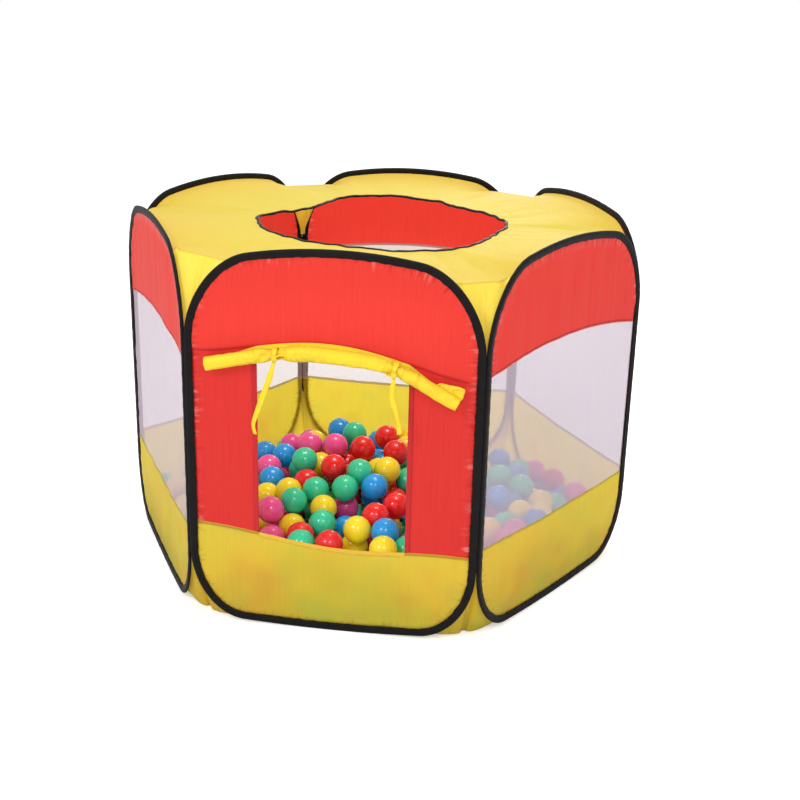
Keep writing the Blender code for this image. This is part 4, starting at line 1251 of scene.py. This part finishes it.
def fill_heap(fixed):
    """The rest of the balls, each dropped on those below it, the lowest place first. None hides
    one that is already there from the camera."""
    rng = np.random.default_rng(SEED)
    ahead = np.array(camera_axes()[3])
    balls = fixed.copy()
    limit = APOTHEM - BALL_RADIUS - 0.010
    corner_limit = 0.535
    reach = 2 * BALL_RADIUS + 0.0003
    tries_each, most_misses, most_raises = 260, 60, 14
    misses = 0
    while misses < most_misses:
        tries = rng.uniform(-WALL_WIDTH, WALL_WIDTH, (tries_each, 2))
        outside = np.any([tries @ way > limit for way in WALL_WAYS], axis=0)
        tries = tries[~(outside | (np.hypot(tries[:, 0], tries[:, 1]) > corner_limit))]
        gap = np.linalg.norm(tries[:, None] - balls[None, :, :2], axis=2)
        rise = np.sqrt(np.clip(reach**2 - gap**2, 0, 1))
        over = gap < reach
        rest = np.full(len(tries), BALL_RADIUS + 0.0025)
        for _ in range(most_raises):
            blocked = over & (np.abs(balls[None, :, 2] - rest[:, None]) < rise - 1e-7)
            if not blocked.any():
                break
            raised = np.max(np.where(blocked, balls[None, :, 2] + rise, 0), axis=1)
            rest = np.where(blocked.any(1), raised, rest)
        off = np.column_stack([tries, rest])[:, None] - fixed[None]
        behind = off @ ahead
        aside = np.linalg.norm(off - behind[..., None] * ahead, axis=2)
        covers = ((aside < 1.25 * BALL_RADIUS) & (behind < 0)).any(1)
        fine = (rest <= heap_height(tries[:, 0], tries[:, 1]) + 0.004) & ~covers
        if fine.any():
            best = np.where(fine, rest, 9).argmin()
            balls = np.vstack([balls, [*tries[best], rest[best]]])
        else:
            misses += 1
    return balls[len(fixed):]


def make_ball_mesh(add_sphere, ridged=False, **division):
    """One ball, where asked for with the fine ridge that the mould leaves round its middle."""
    bpy.ops.object.select_all(action="DESELECT")
    add_sphere(radius=BALL_RADIUS, **division)
    ball = bpy.context.object
    mesh = ball.data
    if ridged:
        bpy.ops.object.mode_set(mode="EDIT")
        bm = bmesh.from_edit_mesh(mesh)
        for item in (*bm.verts, *bm.edges, *bm.faces):
            item.select = False
        for edge in bm.edges:
            if all(abs(vert.co.z) < 1e-6 for vert in edge.verts):
                edge.select = True
        bmesh.update_edit_mesh(mesh)
        bpy.ops.mesh.bevel(offset=0.0011, segments=2, profile=0.5)
        bm = bmesh.from_edit_mesh(mesh)
        for vert in bm.verts:
            if abs(vert.co.z) < 1e-5:
                vert.co *= (BALL_RADIUS + 0.0002) / vert.co.length
        bmesh.update_edit_mesh(mesh)
        bpy.ops.object.mode_set(mode="OBJECT")
    bpy.data.objects.remove(ball)
    return mesh


def join_balls(name, source, places, turns, made):
    """Many balls of one colour as one piece."""
    base = np.array([v.co for v in source.vertices])
    points = [base @ np.array(turn.to_matrix()).T + place for place, turn in zip(places, turns)]
    faces = [
        tuple(number * len(base) + v for v in face.vertices)
        for number in range(len(points)) for face in source.polygons
    ]
    return new_piece(name, np.vstack(points), faces, made)


def make_balls(plastics):
    """The loose balls in their nodes' places, then the heap: finely made where the photo's view
    meets it, plainer further down and behind."""
    rng = np.random.default_rng(SEED)

    def any_turn():
        q = rng.normal(size=4)
        return Quaternion(q / np.linalg.norm(q))

    ridged = make_ball_mesh(bpy.ops.mesh.primitive_uv_sphere_add, ridged=True, segments=32, ring_count=20)
    fixed = []
    for node in sorted(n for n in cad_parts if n.startswith("ball_") and n != "ball_heap"):
        low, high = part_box(node)
        fixed.append(np.array((low + high) / 2))
        ball = join_balls(f"play_{node}", ridged, fixed[-1:], [any_turn()], plastics[node.split("_")[1]])
        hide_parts(node)
        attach(ball, f"loose_{node}")
    seen = place_seen_balls(np.array(fixed))
    rest = fill_heap(np.vstack([fixed, seen]))
    kinds = [kind for kind, _, _ in SEEN_BALLS]
    kinds += [COLOURS[i] for i in rng.integers(0, len(COLOURS), len(rest))]
    places = np.vstack([seen, rest])
    x, y, z = places.T
    near = (np.abs(x) < 0.24) & (y < 0.2) & (z > heap_height(x, y) - 0.036)
    near[: len(seen)] = True
    fine = make_ball_mesh(bpy.ops.mesh.primitive_uv_sphere_add, segments=22, ring_count=14)
    plain = make_ball_mesh(bpy.ops.mesh.primitive_ico_sphere_add, subdivisions=2)
    for kind in COLOURS:
        for group, source, mask in (("top", fine, near), ("buried", plain, ~near)):
            which = [i for i, k in enumerate(kinds) if k == kind and mask[i]]
            turns = [any_turn() for _ in which]
            piece = join_balls(f"heap_{group}_{kind}", source, places[which], turns, plastics[kind])
            if (kind, group) == (COLOURS[0], "top"):
                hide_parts("ball_heap")
            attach(piece, "tent")


add_camera()
add_studio()

CLOTHS = {
    "red": woven_cloth("red_polyester_taffeta", "#EE4038", "#D42C28", see_through=0.40),
    "strip_red": woven_cloth("red_polyester_taffeta_strips", "#E2342F", "#C02422", see_through=0.34),
    "hem_red": woven_cloth("red_polyester_taffeta_doubled", "#C92428", "#A8181E", see_through=0.15),
    # The yellow cloth's two extra colours are painted show-through of the balls behind it
    "yellow": woven_cloth("yellow_polyester_taffeta", "#F4E04C", "#DEC83A", see_through=0.54,
                          painted_show_through=("#D0D85C", "#F2BC4C"), raw="#EE9A48"),
    "hem_yellow": woven_cloth("yellow_polyester_taffeta_doubled", "#EFC944", "#E2B43A", see_through=0.3),
    "roof": woven_cloth("yellow_polyester_taffeta_roof", "#E4D658", "#DACA48", see_through=0.48,
                        crease=0.10, roughness=0.66),
    # The gores are a brighter copy of the roof's cloth: painted light on the steep panels
    "gore": woven_cloth("yellow_polyester_taffeta_gores_painted_light", "#FFE858", "#F6CC38", see_through=0.24,
                        crease=0.4, roughness=0.60),
    # The flap's orange colour is painted shade down in its crumpled folds
    "flap": woven_cloth("yellow_polyester_taffeta_flap", "#FBE438", "#EEC824", see_through=0.25,
                        crease=0.5, painted_crumple_shade="#D6942A"),
    "net": knitted_netting("white_knitted_netting", "#C6BACC"),
}
# The second colour is the grey of the painted glint on the stitches and of the wear
TAPE = woven_tape("black_polyester_tape", "#0A0808", "#2A2626", 0.0335)
BINDING = woven_tape("dark_bias_binding", "#1A0E0C", "#3A2A26", 0.003)
PLASTICS = {
    kind: blown_plastic(f"{kind}_blown_polyethylene", hexcode)
    for kind, hexcode in zip(COLOURS, ("#EA242C", "#F8E42E", "#1C9EF4", "#32D2A4", "#F05AAA"))
}
STEELS = {
    "spring_wire": drawn_steel("drawn_spring_steel", "#8C8F93", 0.35),
    "ferrule": drawn_steel("crimped_plated_steel", "#B5B7BA", 0.30),
}

make_walls(CLOTHS)
make_hems(CLOTHS)
make_sleeves(TAPE)
make_roof(CLOTHS["roof"], CLOTHS["gore"])
make_opening_binding(BINDING)
make_floor(CLOTHS["yellow"])
make_flap_sheet(CLOTHS["flap"])
make_flap_roll(CLOTHS["flap"])
make_flap_corner(CLOTHS["flap"])
make_ties(CLOTHS["flap"])
make_balls(PLASTICS)
for node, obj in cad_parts.items():
    for start, steel in STEELS.items():
        if node.startswith(start):
            obj.data.materials.clear()
            obj.data.materials.append(steel)
